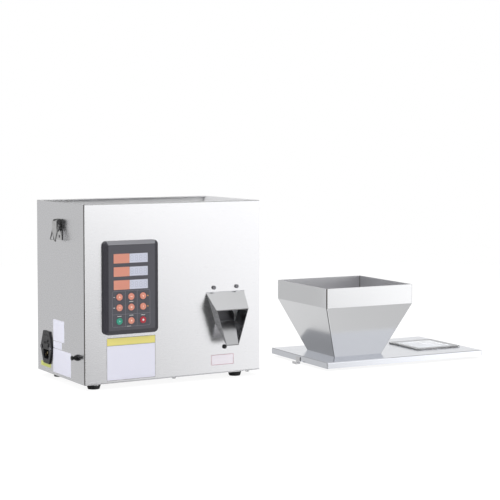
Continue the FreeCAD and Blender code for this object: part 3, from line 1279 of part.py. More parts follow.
def keeper(edge, outward):
    """A small angle on the lid's edge; the loop's bar lies on its ledge behind the turned-up lip."""
    out, thick, low = S.keeper_out, S.keeper_thick, -S.spout_drop
    pieces = []
    for near, far, high in ((0, thick, lh - 3 * T), (0, out, low + thick),
                            (out - thick, out, low + S.keeper_lip)):
        start = edge + near if outward > 0 else edge - far
        pieces.append(block(start, hy - S.keeper_wide / 2, low, far - near, S.keeper_wide, high - low))
    return join(*pieces)


finish(group([keeper(0, -1), keeper(lw, 1)]), "lid_keepers", "lid")

# The origin goes to the middle of the footprint

doc.recompute()
low = [min(item.Shape.optimalBoundingBox(False).XMin for item in NODES),
       min(item.Shape.optimalBoundingBox(False).YMin for item in NODES)]
high = [max(item.Shape.optimalBoundingBox(False).XMax for item in NODES),
        max(item.Shape.optimalBoundingBox(False).YMax for item in NODES)]
for name, start, end in zip(("centre_x", "centre_y"), low, high):
    sheet.set(name, str(round((start + end) / 2, 4)))
doc.recompute()

# Everything has to be sound before anything is written

for item in doc.Objects:
    if "Invalid" in item.State or "Error" in item.State:
        raise ValueError("failed object: " + item.Label)
for item in NODES:
    if item.Shape.isNull() or not item.Shape.isValid():
        raise ValueError("bad shape: " + item.Label)

os.makedirs("parts", exist_ok=True)
for item in NODES:
    item.Shape.exportStep(f"parts/{item.Label}.step")
print(len(NODES), "nodes, footprint centre", sheet.get("centre_x"), sheet.get("centre_y"))
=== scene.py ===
import math

import bpy
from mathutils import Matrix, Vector


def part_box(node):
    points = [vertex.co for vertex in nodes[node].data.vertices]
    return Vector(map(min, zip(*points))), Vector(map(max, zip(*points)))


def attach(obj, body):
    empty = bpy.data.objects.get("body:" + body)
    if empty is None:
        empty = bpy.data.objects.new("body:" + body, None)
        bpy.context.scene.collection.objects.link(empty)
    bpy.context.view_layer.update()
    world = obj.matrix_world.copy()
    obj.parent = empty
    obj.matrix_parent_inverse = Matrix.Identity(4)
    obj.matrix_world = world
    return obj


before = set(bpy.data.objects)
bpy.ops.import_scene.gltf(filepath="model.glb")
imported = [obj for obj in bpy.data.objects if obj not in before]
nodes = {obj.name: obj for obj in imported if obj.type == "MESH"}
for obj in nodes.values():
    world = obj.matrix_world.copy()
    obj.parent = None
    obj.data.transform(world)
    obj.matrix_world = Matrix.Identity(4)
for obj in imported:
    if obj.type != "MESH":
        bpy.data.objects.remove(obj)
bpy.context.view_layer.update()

# Cabinet: front panel, casing and base plate of thin stainless sheet, brushed to a fine lying grain. The
# panel is a sheet of its own between the casing's folds. The casing's faces that look to the front are
# coloured dark: painted shade for a narrow seam at the corner. Its faces that look up are painted dark as
# shade along the rim, and inside, panel and casing are coloured near-white and matt: painted light.

left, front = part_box("outer_casing")[0].x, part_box("front_panel")[0].y
LYING_GRAIN = (60, 60, 2600)


def make_grain():
    """Unevenness of a finish: fine stretched grain, slow clouds, and roughness between two limits."""
    group = bpy.data.node_groups.new("grain", "ShaderNodeTree")
    group.interface.new_socket("Stretch", in_out="INPUT", socket_type="NodeSocketVector")
    for name in ("Cloud size", "Smooth", "Rough"):
        group.interface.new_socket(name, in_out="INPUT", socket_type="NodeSocketFloat")
    for name in ("Roughness", "Height", "Cloud"):
        group.interface.new_socket(name, in_out="OUTPUT", socket_type="NodeSocketFloat")
    new, link = group.nodes.new, group.links.new
    given, result = new("NodeGroupInput"), new("NodeGroupOutput")
    where = new("ShaderNodeTexCoord")
    stretched = new("ShaderNodeVectorMath")
    stretched.operation = "MULTIPLY"
    fine, cloud = new("ShaderNodeTexNoise"), new("ShaderNodeTexNoise")
    fine.inputs["Scale"].default_value = 1
    fine.inputs["Detail"].default_value = 3
    cloud.inputs["Detail"].default_value = 2
    spread = new("ShaderNodeMapRange")
    spread.inputs["From Min"].default_value = 0.3
    spread.inputs["From Max"].default_value = 0.7
    link(where.outputs["Object"], stretched.inputs[0])
    link(given.outputs["Stretch"], stretched.inputs[1])
    link(stretched.outputs[0], fine.inputs["Vector"])
    link(where.outputs["Object"], cloud.inputs["Vector"])
    link(given.outputs["Cloud size"], cloud.inputs["Scale"])
    link(fine.outputs["Fac"], spread.inputs["Value"])
    link(given.outputs["Smooth"], spread.inputs["To Min"])
    link(given.outputs["Rough"], spread.inputs["To Max"])
    link(spread.outputs["Result"], result.inputs["Roughness"])
    link(fine.outputs["Fac"], result.inputs["Height"])
    link(cloud.outputs["Fac"], result.inputs["Cloud"])
    return group


grain = make_grain()


def add_grain(tree, stretch, clouds, smooth, rough):
    """Places the grain in a material and lets it steer the roughness."""
    texture = tree.nodes.new("ShaderNodeGroup")
    texture.node_tree = grain
    for socket, value in (("Stretch", stretch), ("Cloud size", clouds), ("Smooth", smooth), ("Rough", rough)):
        texture.inputs[socket].default_value = value
    tree.links.new(texture.outputs["Roughness"], tree.nodes["Principled BSDF"].inputs["Roughness"])
    return texture


def finish(name, colour, clouded, smooth, rough, stretch=(900, 900, 900), clouds=12, lift=0.00002, **sockets):
    """A finish: its colour shifts a little with the clouds, its gloss and its surface with the grain."""
    material = bpy.data.materials.new(name)
    material.use_nodes = True
    tree = material.node_tree
    shader = tree.nodes["Principled BSDF"]
    for socket, value in sockets.items():
        shader.inputs[socket.replace("_", " ")].default_value = value
    texture = add_grain(tree, stretch, clouds, smooth, rough)
    mix = tree.nodes.new("ShaderNodeMix")
    mix.data_type = "RGBA"
    mix.inputs["A"].default_value = (*colour, 1)
    mix.inputs["B"].default_value = (*clouded, 1)
    bump = tree.nodes.new("ShaderNodeBump")
    bump.inputs["Distance"].default_value = lift
    tree.links.new(texture.outputs["Cloud"], mix.inputs["Factor"])
    tree.links.new(mix.outputs["Result"], shader.inputs["Base Color"])
    tree.links.new(texture.outputs["Height"], bump.inputs["Height"])
    tree.links.new(bump.outputs["Normal"], shader.inputs["Normal"])
    return material


def dress(material, *names):
    """Gives CAD pieces their finish."""
    for name in names:
        for slot in nodes[name].material_slots:
            slot.material = material


satin_steel = finish("satin_steel", (0.90, 0.90, 0.92), (0.88, 0.88, 0.90), 0.23, 0.28,
                     stretch=LYING_GRAIN, lift=0.0000006, Metallic=1)
dress(satin_steel, "base_plate")


def make_facing():
    """Marks faces that look along a direction, towards an upright axis, or away from it (To axis minus)."""
    group = bpy.data.node_groups.new("facing", "ShaderNodeTree")
    for name in ("Axis", "To axis", "Along"):
        group.interface.new_socket(name, in_out="INPUT", socket_type="NodeSocketVector")
    group.interface.new_socket("Limit", in_out="INPUT", socket_type="NodeSocketFloat")
    group.interface.new_socket("Mask", in_out="OUTPUT", socket_type="NodeSocketFloat")
    new, link = group.nodes.new, group.links.new
    given, result, where = new("NodeGroupInput"), new("NodeGroupOutput"), new("ShaderNodeTexCoord")
    offset, scaled, aimed, dot = [new("ShaderNodeVectorMath") for _ in range(4)]
    offset.operation, scaled.operation = "SUBTRACT", "MULTIPLY"
    aimed.operation, dot.operation = "ADD", "DOT_PRODUCT"
    over = new("ShaderNodeMath")
    over.operation = "GREATER_THAN"
    link(given.outputs["Axis"], offset.inputs[0])
    link(where.outputs["Object"], offset.inputs[1])
    link(offset.outputs[0], scaled.inputs[0])
    link(given.outputs["To axis"], scaled.inputs[1])
    link(scaled.outputs[0], aimed.inputs[0])
    link(given.outputs["Along"], aimed.inputs[1])
    link(aimed.outputs[0], dot.inputs[0])
    link(where.outputs["Normal"], dot.inputs[1])
    link(dot.outputs["Value"], over.inputs[0])
    link(given.outputs["Limit"], over.inputs[1])
    link(over.outputs[0], result.inputs["Mask"])
    return group


facing = make_facing()


def treat(material, colour, rough, metallic=None, axis=(0, 0, 0), to_axis=(0, 0, 0), along=(0, 0, 0),
          limit=0.0):
    """Gives the marked faces another colour and gloss, and another metal share where one is given."""
    tree = material.node_tree
    shader = tree.nodes["Principled BSDF"]
    mask = tree.nodes.new("ShaderNodeGroup")
    mask.node_tree = facing
    for socket, value in (("Axis", axis), ("To axis", to_axis), ("Along", along), ("Limit", limit)):
        mask.inputs[socket].default_value = value
    changes = [("Base Color", (*colour, 1)), ("Roughness", rough)]
    if metallic is not None:
        changes.append(("Metallic", metallic))
    for socket, value in changes:
        mix = tree.nodes.new("ShaderNodeMix")
        mix.data_type = "RGBA" if socket == "Base Color" else "FLOAT"
        if shader.inputs[socket].links:
            tree.links.new(shader.inputs[socket].links[0].from_socket, mix.inputs["A"])
        else:
            mix.inputs["A"].default_value = shader.inputs[socket].default_value
        mix.inputs["B"].default_value = value
        tree.links.new(mask.outputs["Mask"], mix.inputs["Factor"])
        tree.links.new(mix.outputs["Result"], shader.inputs[socket])


def upright_axis(node):
    """The upright line through the middle of a piece."""
    low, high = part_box(node)
    return ((low.x + high.x) / 2, (low.y + high.y) / 2, 0)


casing_axis = upright_axis("outer_casing")
for name in ("front_panel", "outer_casing"):
    steel = finish(name + "_steel", (0.90, 0.90, 0.92), (0.88, 0.88, 0.90), 0.24, 0.28, stretch=LYING_GRAIN,
                   lift=0.00000025, Metallic=1)
    if name == "outer_casing":
        # painted shade: the casing's faces that look to the front are coloured dark as the seam at the corner
        treat(steel, (0.210, 0.198, 0.186), 0.4, 1, along=(0, -1, 0), limit=0.5)
        # painted shade: the casing's faces that look up are coloured dark as the shade along the rim
        treat(steel, (0.30, 0.30, 0.30), 0.4, 1, along=(0, 0, 1), limit=0.9)
    # painted light: faces that look inwards are coloured near-white and matt, so the lamps light the inside
    treat(steel, (0.93, 0.93, 0.94), 0.45, 0, axis=casing_axis, to_axis=(1, 1, 0))
    dress(steel, name)

# Feet: black moulded rubber, each held by a screw sunk in its middle. These screws and the ones along the
# bottom edge are zinc plated.

rubber = finish("black_rubber", (0.018, 0.018, 0.019), (0.03, 0.03, 0.031), 0.5, 0.7)
dress(rubber, "foot_front_left", "foot_front_right", "foot_back_left", "foot_back_right")
zinc = finish("bright_zinc", (0.62, 0.62, 0.63), (0.5, 0.5, 0.52), 0.18, 0.32, clouds=200, Metallic=1)
dress(zinc, "foot_screws", "edge_screws", "latch_rivets")

# Control unit: a housing moulded of charcoal plastic with a bevelled rim, set on the front panel, and a
# printed overlay of film stuck on its face. The bevel at the top is coloured lighter: a painted highlight.

UPPER_BEVEL = (0, -0.908, 0.419)
moulded = finish("charcoal_moulding", (0.042, 0.040, 0.050), (0.048, 0.046, 0.056), 0.26, 0.36, lift=0.00003)
# painted highlight: the upper bevel is coloured lighter than the rest of the moulding
treat(moulded, (0.22, 0.22, 0.24), 0.3, 0, along=UPPER_BEVEL, limit=0.985)
dress(moulded, "control_housing")
nodes["control_housing"].visible_glossy = False
printed_film = finish("printed_film", (0.074, 0.073, 0.088), (0.082, 0.080, 0.096), 0.34, 0.46, lift=0.00001)
dress(printed_film, "keypad_overlay")

# Print on the overlay: the colour field left of each display, the thin frame round the keys and the small
# marks beside them. Each is a thin patch of ink, drawn as a flat plate on the film.

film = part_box("keypad_overlay")[0].y
INK = 0.00006


def patch(name, x, z, wide, high, material, y=film, thick=INK, corner=0.0, border=0.0):
    """A thin plate on a face that looks to the front. With a border only its outer strip stays."""
    bpy.ops.object.select_all(action="DESELECT")
    bpy.ops.mesh.primitive_plane_add(size=1, location=(x, y, z), rotation=(math.pi / 2, 0, 0))
    piece = bpy.context.object
    piece.name = name
    piece.scale = (wide, high, 1)
    bpy.ops.object.transform_apply(location=True, rotation=True, scale=True)
    bpy.ops.object.mode_set(mode="EDIT")
    if corner:
        bpy.ops.mesh.bevel(offset=corner, segments=5, affect="VERTICES")
    if border:
        bpy.ops.mesh.inset(thickness=border)
        bpy.ops.mesh.delete(type="FACE")
    bpy.ops.mesh.select_all(action="SELECT")
    bpy.ops.mesh.extrude_region_move(TRANSFORM_OT_translate={"value": (0, -thick, 0)})
    bpy.ops.mesh.select_all(action="SELECT")
    bpy.ops.mesh.normals_make_consistent(inside=False)
    bpy.ops.object.mode_set(mode="OBJECT")
    piece.data.materials.append(material)
    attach(piece, "cabinet")
    return piece


def together(name, pieces):
    """Joins like pieces into one."""
    bpy.ops.object.select_all(action="DESELECT")
    for piece in pieces:
        piece.select_set(True)
    bpy.context.view_layer.objects.active = pieces[0]
    bpy.ops.object.join()
    pieces[0].name = name
    return pieces[0]


def from_left(distance):
    """A place so many millimetres from the cabinet's left side."""
    return left + distance / 1000


orange_ink = finish("orange_ink", (0.70, 0.29, 0.21), (0.67, 0.275, 0.20), 0.4, 0.5)
WINDOW_HEIGHTS = (0.2233, 0.2009, 0.1785)
FIELD_MIDDLE, FIELD_WIDE, FIELD_HIGH = from_left(62.9), 0.0294, 0.0160
fields = [patch("display_field", FIELD_MIDDLE, z, FIELD_WIDE, FIELD_HIGH, orange_ink, corner=0.0008)
          for z in WINDOW_HEIGHTS]
together("display_fields", fields)
grey_ink = finish("grey_ink", (0.28, 0.28, 0.32), (0.22, 0.22, 0.26), 0.4, 0.5)
KEYS_MIDDLE, FRAME_HEIGHT, LOWER_RULE, LINE = from_left(80.6), 0.1378, 0.1285, 0.00035
frame_lines = [patch("key_frame", KEYS_MIDDLE, FRAME_HEIGHT, 0.0710, 0.0610, grey_ink, corner=0.003,
                     border=LINE)]
for x in (69.6, 91.7):
    frame_lines.append(patch("key_frame", from_left(x), FRAME_HEIGHT, LINE, 0.0604, grey_ink))
frame_lines.append(patch("key_frame", KEYS_MIDDLE, LOWER_RULE, 0.0704, LINE, grey_ink))
together("key_frame", frame_lines)
white_ink = finish("white_ink", (0.75, 0.75, 0.74), (0.66, 0.66, 0.66), 0.4, 0.5)
UPPER_KEY_ROWS = (0.158, 0.140)
ticks = [patch("key_tick", from_left(48.8), z, 0.0028, 0.0009, white_ink) for z in UPPER_KEY_ROWS]
ticks += [patch("key_tick", from_left(x), z, 0.0075, 0.0008, white_ink)
          for x, z in ((58.5, 0.1255), (80.6, 0.1262), (102.7, 0.1255), (80.6, 0.1495), (76.5, 0.1078))]
together("key_marks", ticks)

# Status lamps right of the two upper rows of keys: small lenses of amber plastic, domed, set in the film
# and a little proud of it.

amber = finish("amber_lens", (0.75, 0.42, 0.16), (0.65, 0.34, 0.10), 0.12, 0.2, Coat_Weight=0.4)
LENS_RADIUS = 0.0011
lenses = []
for z in UPPER_KEY_ROWS:
    place = (from_left(111.8), film, z)
    bpy.ops.object.select_all(action="DESELECT")
    bpy.ops.mesh.primitive_uv_sphere_add(segments=20, ring_count=10, radius=LENS_RADIUS, location=place)
    lens = bpy.context.object
    bpy.ops.object.mode_set(mode="EDIT")
    bpy.ops.mesh.bisect(plane_co=place, plane_no=(0, 1, 0), clear_outer=True, use_fill=True)
    bpy.ops.object.mode_set(mode="OBJECT")
    bpy.ops.object.transform_apply(location=True, rotation=True, scale=True)
    bpy.ops.object.shade_smooth_by_angle(angle=math.radians(40))
    lens.data.materials.append(amber)
    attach(lens, "cabinet")
    lenses.append(lens)
together("status_lamps", lenses)

# Displays: three modules behind windows in the overlay, with a glossy grey-blue face. Each has four digits
# of seven segments and a point, all unlit.

display_face = finish("display_face", (0.62, 0.64, 0.75), (0.58, 0.60, 0.71), 0.12, 0.2, Coat_Weight=0.3)
dress(display_face, "display_modules")
module_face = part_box("display_modules")[0].y
unlit = finish("unlit_segment", (0.46, 0.48, 0.57), (0.42, 0.44, 0.53), 0.2, 0.3)
FIRST_DIGIT, DIGIT_STEP, POINT = 82.4, 8.3, 0.0009
SEGMENTS = ((0, 4.4, 3.6, 0.8), (0, 0, 3.6, 0.8), (0, -4.4, 3.6, 0.8), (-2.3, 2.2, 0.8, 3.4),
            (2.3, 2.2, 0.8, 3.4), (-2.3, -2.2, 0.8, 3.4), (2.3, -2.2, 0.8, 3.4))
digits = []
for z in WINDOW_HEIGHTS:
    for step in range(4):
        middle = FIRST_DIGIT + DIGIT_STEP * step
        for across, up, wide, high in SEGMENTS:
            digits.append(patch("segment", from_left(middle + across), z + up / 1000, wide / 1000,
                                high / 1000, unlit, y=module_face, corner=0.00035))
        digits.append(patch("segment", from_left(middle + 3.9), z - 0.0044, POINT, POINT, unlit,
                            y=module_face, corner=0.0003))
together("display_digits", digits)

# Keys: nine round caps moulded of glossy plastic, one green, one red, the rest orange. They stand through
# the overlay, and small pale signs are printed on their crowns and ride with them.

KEYS = (("orange_key", (0.72, 0.28, 0.205), (0.68, 0.26, 0.19),
         ("key_top_left", "key_top_middle", "key_top_right", "key_middle_left", "key_middle_middle",
          "key_middle_right", "key_bottom_middle")),
        ("green_key", (0.035, 0.32, 0.22), (0.03, 0.27, 0.19), ("key_bottom_left",)),
        ("red_key", (0.46, 0.03, 0.05), (0.40, 0.026, 0.045), ("key_bottom_right",)))
for name, colour, clouded, caps in KEYS:
    dress(finish(name, colour, clouded, 0.22, 0.32, Coat_Weight=0.25), *caps)
pale_ink = finish("pale_ink", (0.86, 0.62, 0.50), (0.80, 0.56, 0.45), 0.4, 0.5)


def symbol(key, corners, wide, high, turn=0.0, material=pale_ink):
    """A flat sign on a key's crown: a polygon, turned, and so many millimetres wide and high."""
    low, high_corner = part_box(key)
    centre = (low + high_corner) / 2
    bpy.ops.object.select_all(action="DESELECT")
    bpy.ops.mesh.primitive_circle_add(vertices=corners, radius=1, fill_type="NGON",
                                      location=(centre.x, low.y, centre.z), rotation=(math.pi / 2, turn, 0))
    sign = bpy.context.object
    sign.name = "sign_" + key
    bpy.ops.object.transform_apply(location=False, rotation=True, scale=False)
    sign.scale = (wide / 2000, 1, high / 2000)
    bpy.ops.object.transform_apply(location=True, rotation=True, scale=True)
    bpy.ops.object.mode_set(mode="EDIT")
    bpy.ops.mesh.select_all(action="SELECT")
    bpy.ops.mesh.extrude_region_move(TRANSFORM_OT_translate={"value": (0, -INK, 0)})
    bpy.ops.mesh.select_all(action="SELECT")
    bpy.ops.mesh.normals_make_consistent(inside=False)
    bpy.ops.object.mode_set(mode="OBJECT")
    sign.data.materials.append(material)
    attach(sign, key)


symbol("key_top_left", 3, 4.0, 4.4)
symbol("key_top_middle", 4, 5.2, 1.8)
symbol("key_top_right", 3, 4.0, 4.4, turn=math.pi)
symbol("key_middle_left", 4, 4.4, 1.5)
symbol("key_middle_middle", 24, 3.4, 3.4)
symbol("key_middle_right", 4, 1.5, 4.4)
mint_ink = finish("mint_ink", (0.25, 0.62, 0.50), (0.22, 0.56, 0.45), 0.4, 0.5)
symbol("key_bottom_left", 3, 4.2, 4.0, turn=math.pi / 2, material=mint_ink)
symbol("key_bottom_middle", 4, 3.6, 3.6, turn=math.pi / 4)
symbol("key_bottom_right", 24, 3.6, 3.6, material=white_ink)

# Electronics: a control board on four bosses in the housing and a power board on the base plate, both of
# glass fibre sheet under a green solder mask. The black key switches are soldered on the control board.

board_mask = finish("solder_mask", (0.012, 0.10, 0.035), (0.02, 0.15, 0.05), 0.25, 0.4, clouds=160,
                    Coat_Weight=0.3)
dress(board_mask, "control_board", "power_board")
switch_black = finish("switch_black", (0.02, 0.02, 0.021), (0.035, 0.035, 0.036), 0.35, 0.5)
dress(switch_black, "key_switches")

# Discharge chute: bright stainless sheet, bent to a hood and a floor, with dull cut edges. The floor is
# coloured darker, painted shade inside the mouth. Two chromed pan head screws hold it above the hood, and a
# small black sensor sits under its lip. The inner chute behind it is sheet coloured dark: painted shade.

CHUTE_FLOOR = (0, -0.8087, 0.5882)
bright_steel = finish("bright_steel", (0.90, 0.905, 0.92), (0.875, 0.88, 0.895), 0.15, 0.20,
                      stretch=LYING_GRAIN, lift=0.0000004, Metallic=1)
treat(bright_steel, (0.34, 0.34, 0.35), 0.45, 1, along=(0, -1, 0), limit=0.985)
# painted shade: the chute's floor is coloured darker than the hood for the shade inside the mouth
treat(bright_steel, (0.66, 0.665, 0.68), 0.24, 1, along=CHUTE_FLOOR, limit=0.997)
dress(bright_steel, "discharge_chute")
# painted shade: the inner chute is coloured dark for the shade it lies in
painted_shade_steel = finish("painted_shade_steel", (0.20, 0.20, 0.21), (0.14, 0.14, 0.15), 0.38, 0.5, stretch=(60, 60, 900),
                    lift=0.000002, Metallic=1)
dress(painted_shade_steel, "inner_chute")
chrome = finish("screw_chrome", (0.26, 0.26, 0.28), (0.14, 0.14, 0.15), 0.12, 0.24, clouds=300, Metallic=1)
dress(chrome, "chute_screws", "inlet_screws")
sensor_black = finish("sensor_black", (0.012, 0.012, 0.013), (0.02, 0.02, 0.02), 0.15, 0.3)
dress(sensor_black, "bag_sensor")

# Left side: an appliance inlet of black plastic with rocker switch, fuse drawer and brass blades, held by
# two screws, and the socket of the foot pedal with a chromed nut and a rubber plug.

inlet_black = finish("inlet_black", (0.016, 0.016, 0.018), (0.024, 0.024, 0.027), 0.28, 0.42, lift=0.00003)
dress(inlet_black, "power_inlet", "fuse_drawer", "rocker_switch", "pedal_socket")
brass = finish("brass_blade", (0.62, 0.50, 0.27), (0.55, 0.42, 0.22), 0.2, 0.32, Metallic=1)
dress(brass, "inlet_pins")
dress(chrome, "socket_nut")
dress(rubber, "dust_plug")

# Draw latches left and right: pressed steel, nickel plated and bright. A base is riveted on the casing, and
# the lever on it carries a loop of bent wire that catches the lid's keeper.

plated = finish("nickel_plate", (0.80, 0.80, 0.80), (0.55, 0.55, 0.55), 0.08, 0.16, clouds=120, Metallic=1)
for side in ("left", "right"):
    dress(plated, "latch_base_" + side, "latch_lever_" + side, "latch_loop_" + side)

# Feeder: steel stand, rubber isolators, a painted cast base, spring steel leaves, a laminated core with a
# taped coil, and the feed trough of thin stainless sheet.

mill_steel = finish("mill_steel", (0.40, 0.40, 0.41), (0.33, 0.33, 0.34), 0.38, 0.5, stretch=(60, 60, 900),
                    lift=0.000002, Metallic=1)
dress(mill_steel, "feeder_stand")
dress(satin_steel, "feed_trough")
dress(rubber, "isolators")
grey_paint = finish("grey_paint", (0.16, 0.17, 0.18), (0.13, 0.14, 0.15), 0.4, 0.6, stretch=(500, 500, 500),
                    lift=0.0001)
dress(grey_paint, "vibrator_base")
spring_steel = finish("spring_steel", (0.35, 0.36, 0.40), (0.27, 0.28, 0.32), 0.25, 0.4, Metallic=1)
dress(spring_steel, "leaf_springs")
laminated = finish("laminated_core", (0.24, 0.24, 0.25), (0.17, 0.17, 0.18), 0.35, 0.55, stretch=(10, 2000, 10),
                   lift=0.00008, Metallic=0.8)
dress(laminated, "magnet_core")
coil_tape = finish("coil_tape", (0.55, 0.38, 0.06), (0.48, 0.32, 0.05), 0.3, 0.45, stretch=(40, 40, 900))
dress(coil_tape, "magnet_coil")

# Weighing: a bucket of stainless sheet with a hinged gate hangs on a load cell of bead-blasted aluminium,
# which is screwed to a bracket of plain sheet. A gear motor with a zinc plated crank opens the gate.

dress(satin_steel, "weigh_bucket", "bucket_gate")
dress(mill_steel, "cell_bracket")
blasted = finish("blasted_aluminium", (0.66, 0.66, 0.67), (0.60, 0.60, 0.61), 0.38, 0.5, Metallic=1)
dress(blasted, "load_cell")
dress(zinc, "gate_crank", "gate_motor")

# Hopper: four sides of bright stainless sheet with a folded band, welded at the corners and welded on the
# lid. The bend at the front-left corner is coloured dark: a painted reflection. Inside, the sheet is rougher,
# and a matt share in its colour lets the lamps light the inner walls: painted light.

FRONT_LEFT_CORNER = (-0.742, -0.671, 0)
hopper_steel = finish("hopper_steel", (0.90, 0.905, 0.92), (0.875, 0.88, 0.895), 0.15, 0.20,
                      stretch=LYING_GRAIN, lift=0.0000004, Metallic=1)
# painted light: inner faces get a matt share, so the lamps light them, and are rougher
treat(hopper_steel, (0.82, 0.82, 0.84), 0.32, 0.85, axis=upright_axis("hopper"), to_axis=(1, 1, 0))
# painted reflection: the faces at the front-left corner are coloured dark
treat(hopper_steel, (0.20, 0.18, 0.16), 0.35, 1, along=FRONT_LEFT_CORNER, limit=0.85)
dress(hopper_steel, "hopper")

# Lid: bright stainless sheet with its edge turned down, cool in tone, and a keeper of satin sheet under
# each end for the latches.

lid_steel = finish("lid_steel", (0.925, 0.945, 0.995), (0.905, 0.925, 0.98), 0.15, 0.20, stretch=LYING_GRAIN,
                   lift=0.0000004, Metallic=1)
dress(lid_steel, "lid_plate")
dress(satin_steel, "lid_keepers")

# Window: a square pane cut from clear acrylic sheet and laid over the opening in the lid. Its faces are
# polished, and its sawn edges are matt and white.

pane = bpy.data.materials.new("clear_acrylic")
pane.use_nodes = True
pane_shader = pane.node_tree.nodes["Principled BSDF"]
for socket, value in (("Base Color", (0.92, 0.95, 1, 1)), ("IOR", 1.35), ("Transmission Weight", 0.75)):
    pane_shader.inputs[socket].default_value = value
add_grain(pane.node_tree, (300, 300, 300), 20, 0.02, 0.06)
treat(pane, (1, 1, 1), 1, axis=upright_axis("inspection_window"), to_axis=(-1, -1, 0))
dress(pane, "inspection_window")

# Stickers: paper under a clear film, pressed on by hand. One under the control unit has a yellow head and a
# grey edge, one under the chute has a thin red edge, and four are on the left side.

label_white = finish("label_white", (0.82, 0.82, 0.93), (0.79, 0.79, 0.90), 0.3, 0.42, Coat_Weight=0.15)
paper_white = finish("paper_white", (0.97, 0.92, 0.98), (0.94, 0.89, 0.95), 0.3, 0.42, Coat_Weight=0.15)
label_yellow = finish("label_yellow", (0.87, 0.78, 0.24), (0.84, 0.75, 0.22), 0.3, 0.42, Coat_Weight=0.15)
label_grey = finish("label_grey", (0.22, 0.20, 0.20), (0.19, 0.175, 0.175), 0.3, 0.42)
label_red = finish("label_red", (0.48, 0.20, 0.25), (0.44, 0.18, 0.23), 0.3, 0.42)
label_lime = finish("label_lime", (0.62, 0.66, 0.15), (0.57, 0.61, 0.14), 0.3, 0.42, Coat_Weight=0.15)

PAPER = 0.00012
paper_face = front - PAPER
head_face = paper_face - INK
LABEL_MIDDLE, LABEL_HEIGHT = from_left(86.5), 0.0510
patch("front_label", LABEL_MIDDLE, LABEL_HEIGHT, 0.0920, 0.0730, label_white, y=front, thick=PAPER,
      corner=0.0012)
patch("front_label_head", LABEL_MIDDLE, 0.0807, 0.0908, 0.0130, label_yellow, y=paper_face, corner=0.0008)
patch("front_label_edge", LABEL_MIDDLE, LABEL_HEIGHT, 0.0918, 0.0728, label_grey, y=head_face,
      corner=0.0012, border=0.0006)
patch("front_label_rule", LABEL_MIDDLE, 0.0740, 0.0908, 0.0007, label_grey, y=head_face)
CHUTE_LABEL_MIDDLE, CHUTE_LABEL_HEIGHT = from_left(264.8), 0.03425
patch("chute_label", CHUTE_LABEL_MIDDLE, CHUTE_LABEL_HEIGHT, 0.0455, 0.0185, paper_white, y=front,
      thick=PAPER, corner=0.0006)
patch("chute_label_edge", CHUTE_LABEL_MIDDLE, CHUTE_LABEL_HEIGHT, 0.0451, 0.0181, label_red,
      y=paper_face, corner=0.0006, border=0.0007)


def side_sticker(name, near, far, low, high, material):
    """A sticker on the left side, from and to so many millimetres behind the front and above the table."""
    bpy.ops.object.select_all(action="DESELECT")
    middle = (left, front + (near + far) / 2000, (low + high) / 2000)
    bpy.ops.mesh.primitive_plane_add(size=1, location=middle, rotation=(math.pi / 2, 0, -math.pi / 2))
    piece = bpy.context.object
    piece.name = name
    piece.scale = ((far - near) / 1000, (high - low) / 1000, 1)
    bpy.ops.object.transform_apply(location=True, rotation=True, scale=True)
    bpy.ops.object.mode_set(mode="EDIT")
    bpy.ops.mesh.bevel(offset=0.0008, segments=5, affect="VERTICES")
    bpy.ops.mesh.extrude_region_move(TRANSFORM_OT_translate={"value": (-PAPER, 0, 0)})
    bpy.ops.mesh.select_all(action="SELECT")
    bpy.ops.mesh.normals_make_consistent(inside=False)
    bpy.ops.object.mode_set(mode="OBJECT")
    piece.data.materials.append(material)
    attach(piece, "cabinet")


side_sticker("side_label_top", 87, 136, 71, 108.5, label_white)
side_sticker("side_label_middle", 98, 136, 58, 70, label_white)
side_sticker("side_label_low", 58, 137, 15, 57, label_white)
side_sticker("side_label_lime", 148, 193, 19.5, 28, label_lime)

# Studio floor: a pale, matt disc that keeps the machine's shadow. The camera, and what looks through the
# pane, see it white, and the steel mirrors the room alone.

FLOOR_PALE, FLOOR_SEEN, FLOOR_GLOW = 0.75, 0.16, 0.90
bpy.ops.object.select_all(action="DESELECT")
bpy.ops.mesh.primitive_circle_add(vertices=96, radius=2.2, fill_type="NGON", location=(0, 0, 0))
floor = bpy.context.object
floor.name = "studio_floor"
floor.visible_glossy = False
floor_paint = bpy.data.materials.new("studio_floor")
floor_paint.use_nodes = True
floor.data.materials.append(floor_paint)
tree = floor_paint.node_tree
shader = tree.nodes["Principled BSDF"]
shader.inputs["Roughness"].default_value = 0.9
shader.inputs["Specular IOR Level"].default_value = 0
shader.inputs["Emission Color"].default_value = (1, 1, 1, 1)
ray = tree.nodes.new("ShaderNodeLightPath")
looked_at = tree.nodes.new("ShaderNodeMath")
looked_at.operation = "MAXIMUM"
tree.links.new(ray.outputs["Is Transmission Ray"], looked_at.inputs[0])
tree.links.new(ray.outputs["Is Camera Ray"], looked_at.inputs[1])
paint = tree.nodes.new("ShaderNodeMix")
paint.data_type = "RGBA"
paint.inputs["A"].default_value = (FLOOR_PALE, FLOOR_PALE, FLOOR_PALE, 1)
paint.inputs["B"].default_value = (FLOOR_SEEN, FLOOR_SEEN, FLOOR_SEEN, 1)
tree.links.new(looked_at.outputs[0], paint.inputs["Factor"])
tree.links.new(paint.outputs["Result"], shader.inputs["Base Color"])
glow = tree.nodes.new("ShaderNodeMix")
glow.inputs["A"].default_value = 0
glow.inputs["B"].default_value = FLOOR_GLOW
tree.links.new(looked_at.outputs[0], glow.inputs["Factor"])
tree.links.new(glow.outputs["Result"], shader.inputs["Emission Strength"])

# Lamps: three soft boxes, in front on the right, above, and on the left, that light paint, print and
# plastic and aren't mirrored in the steel.


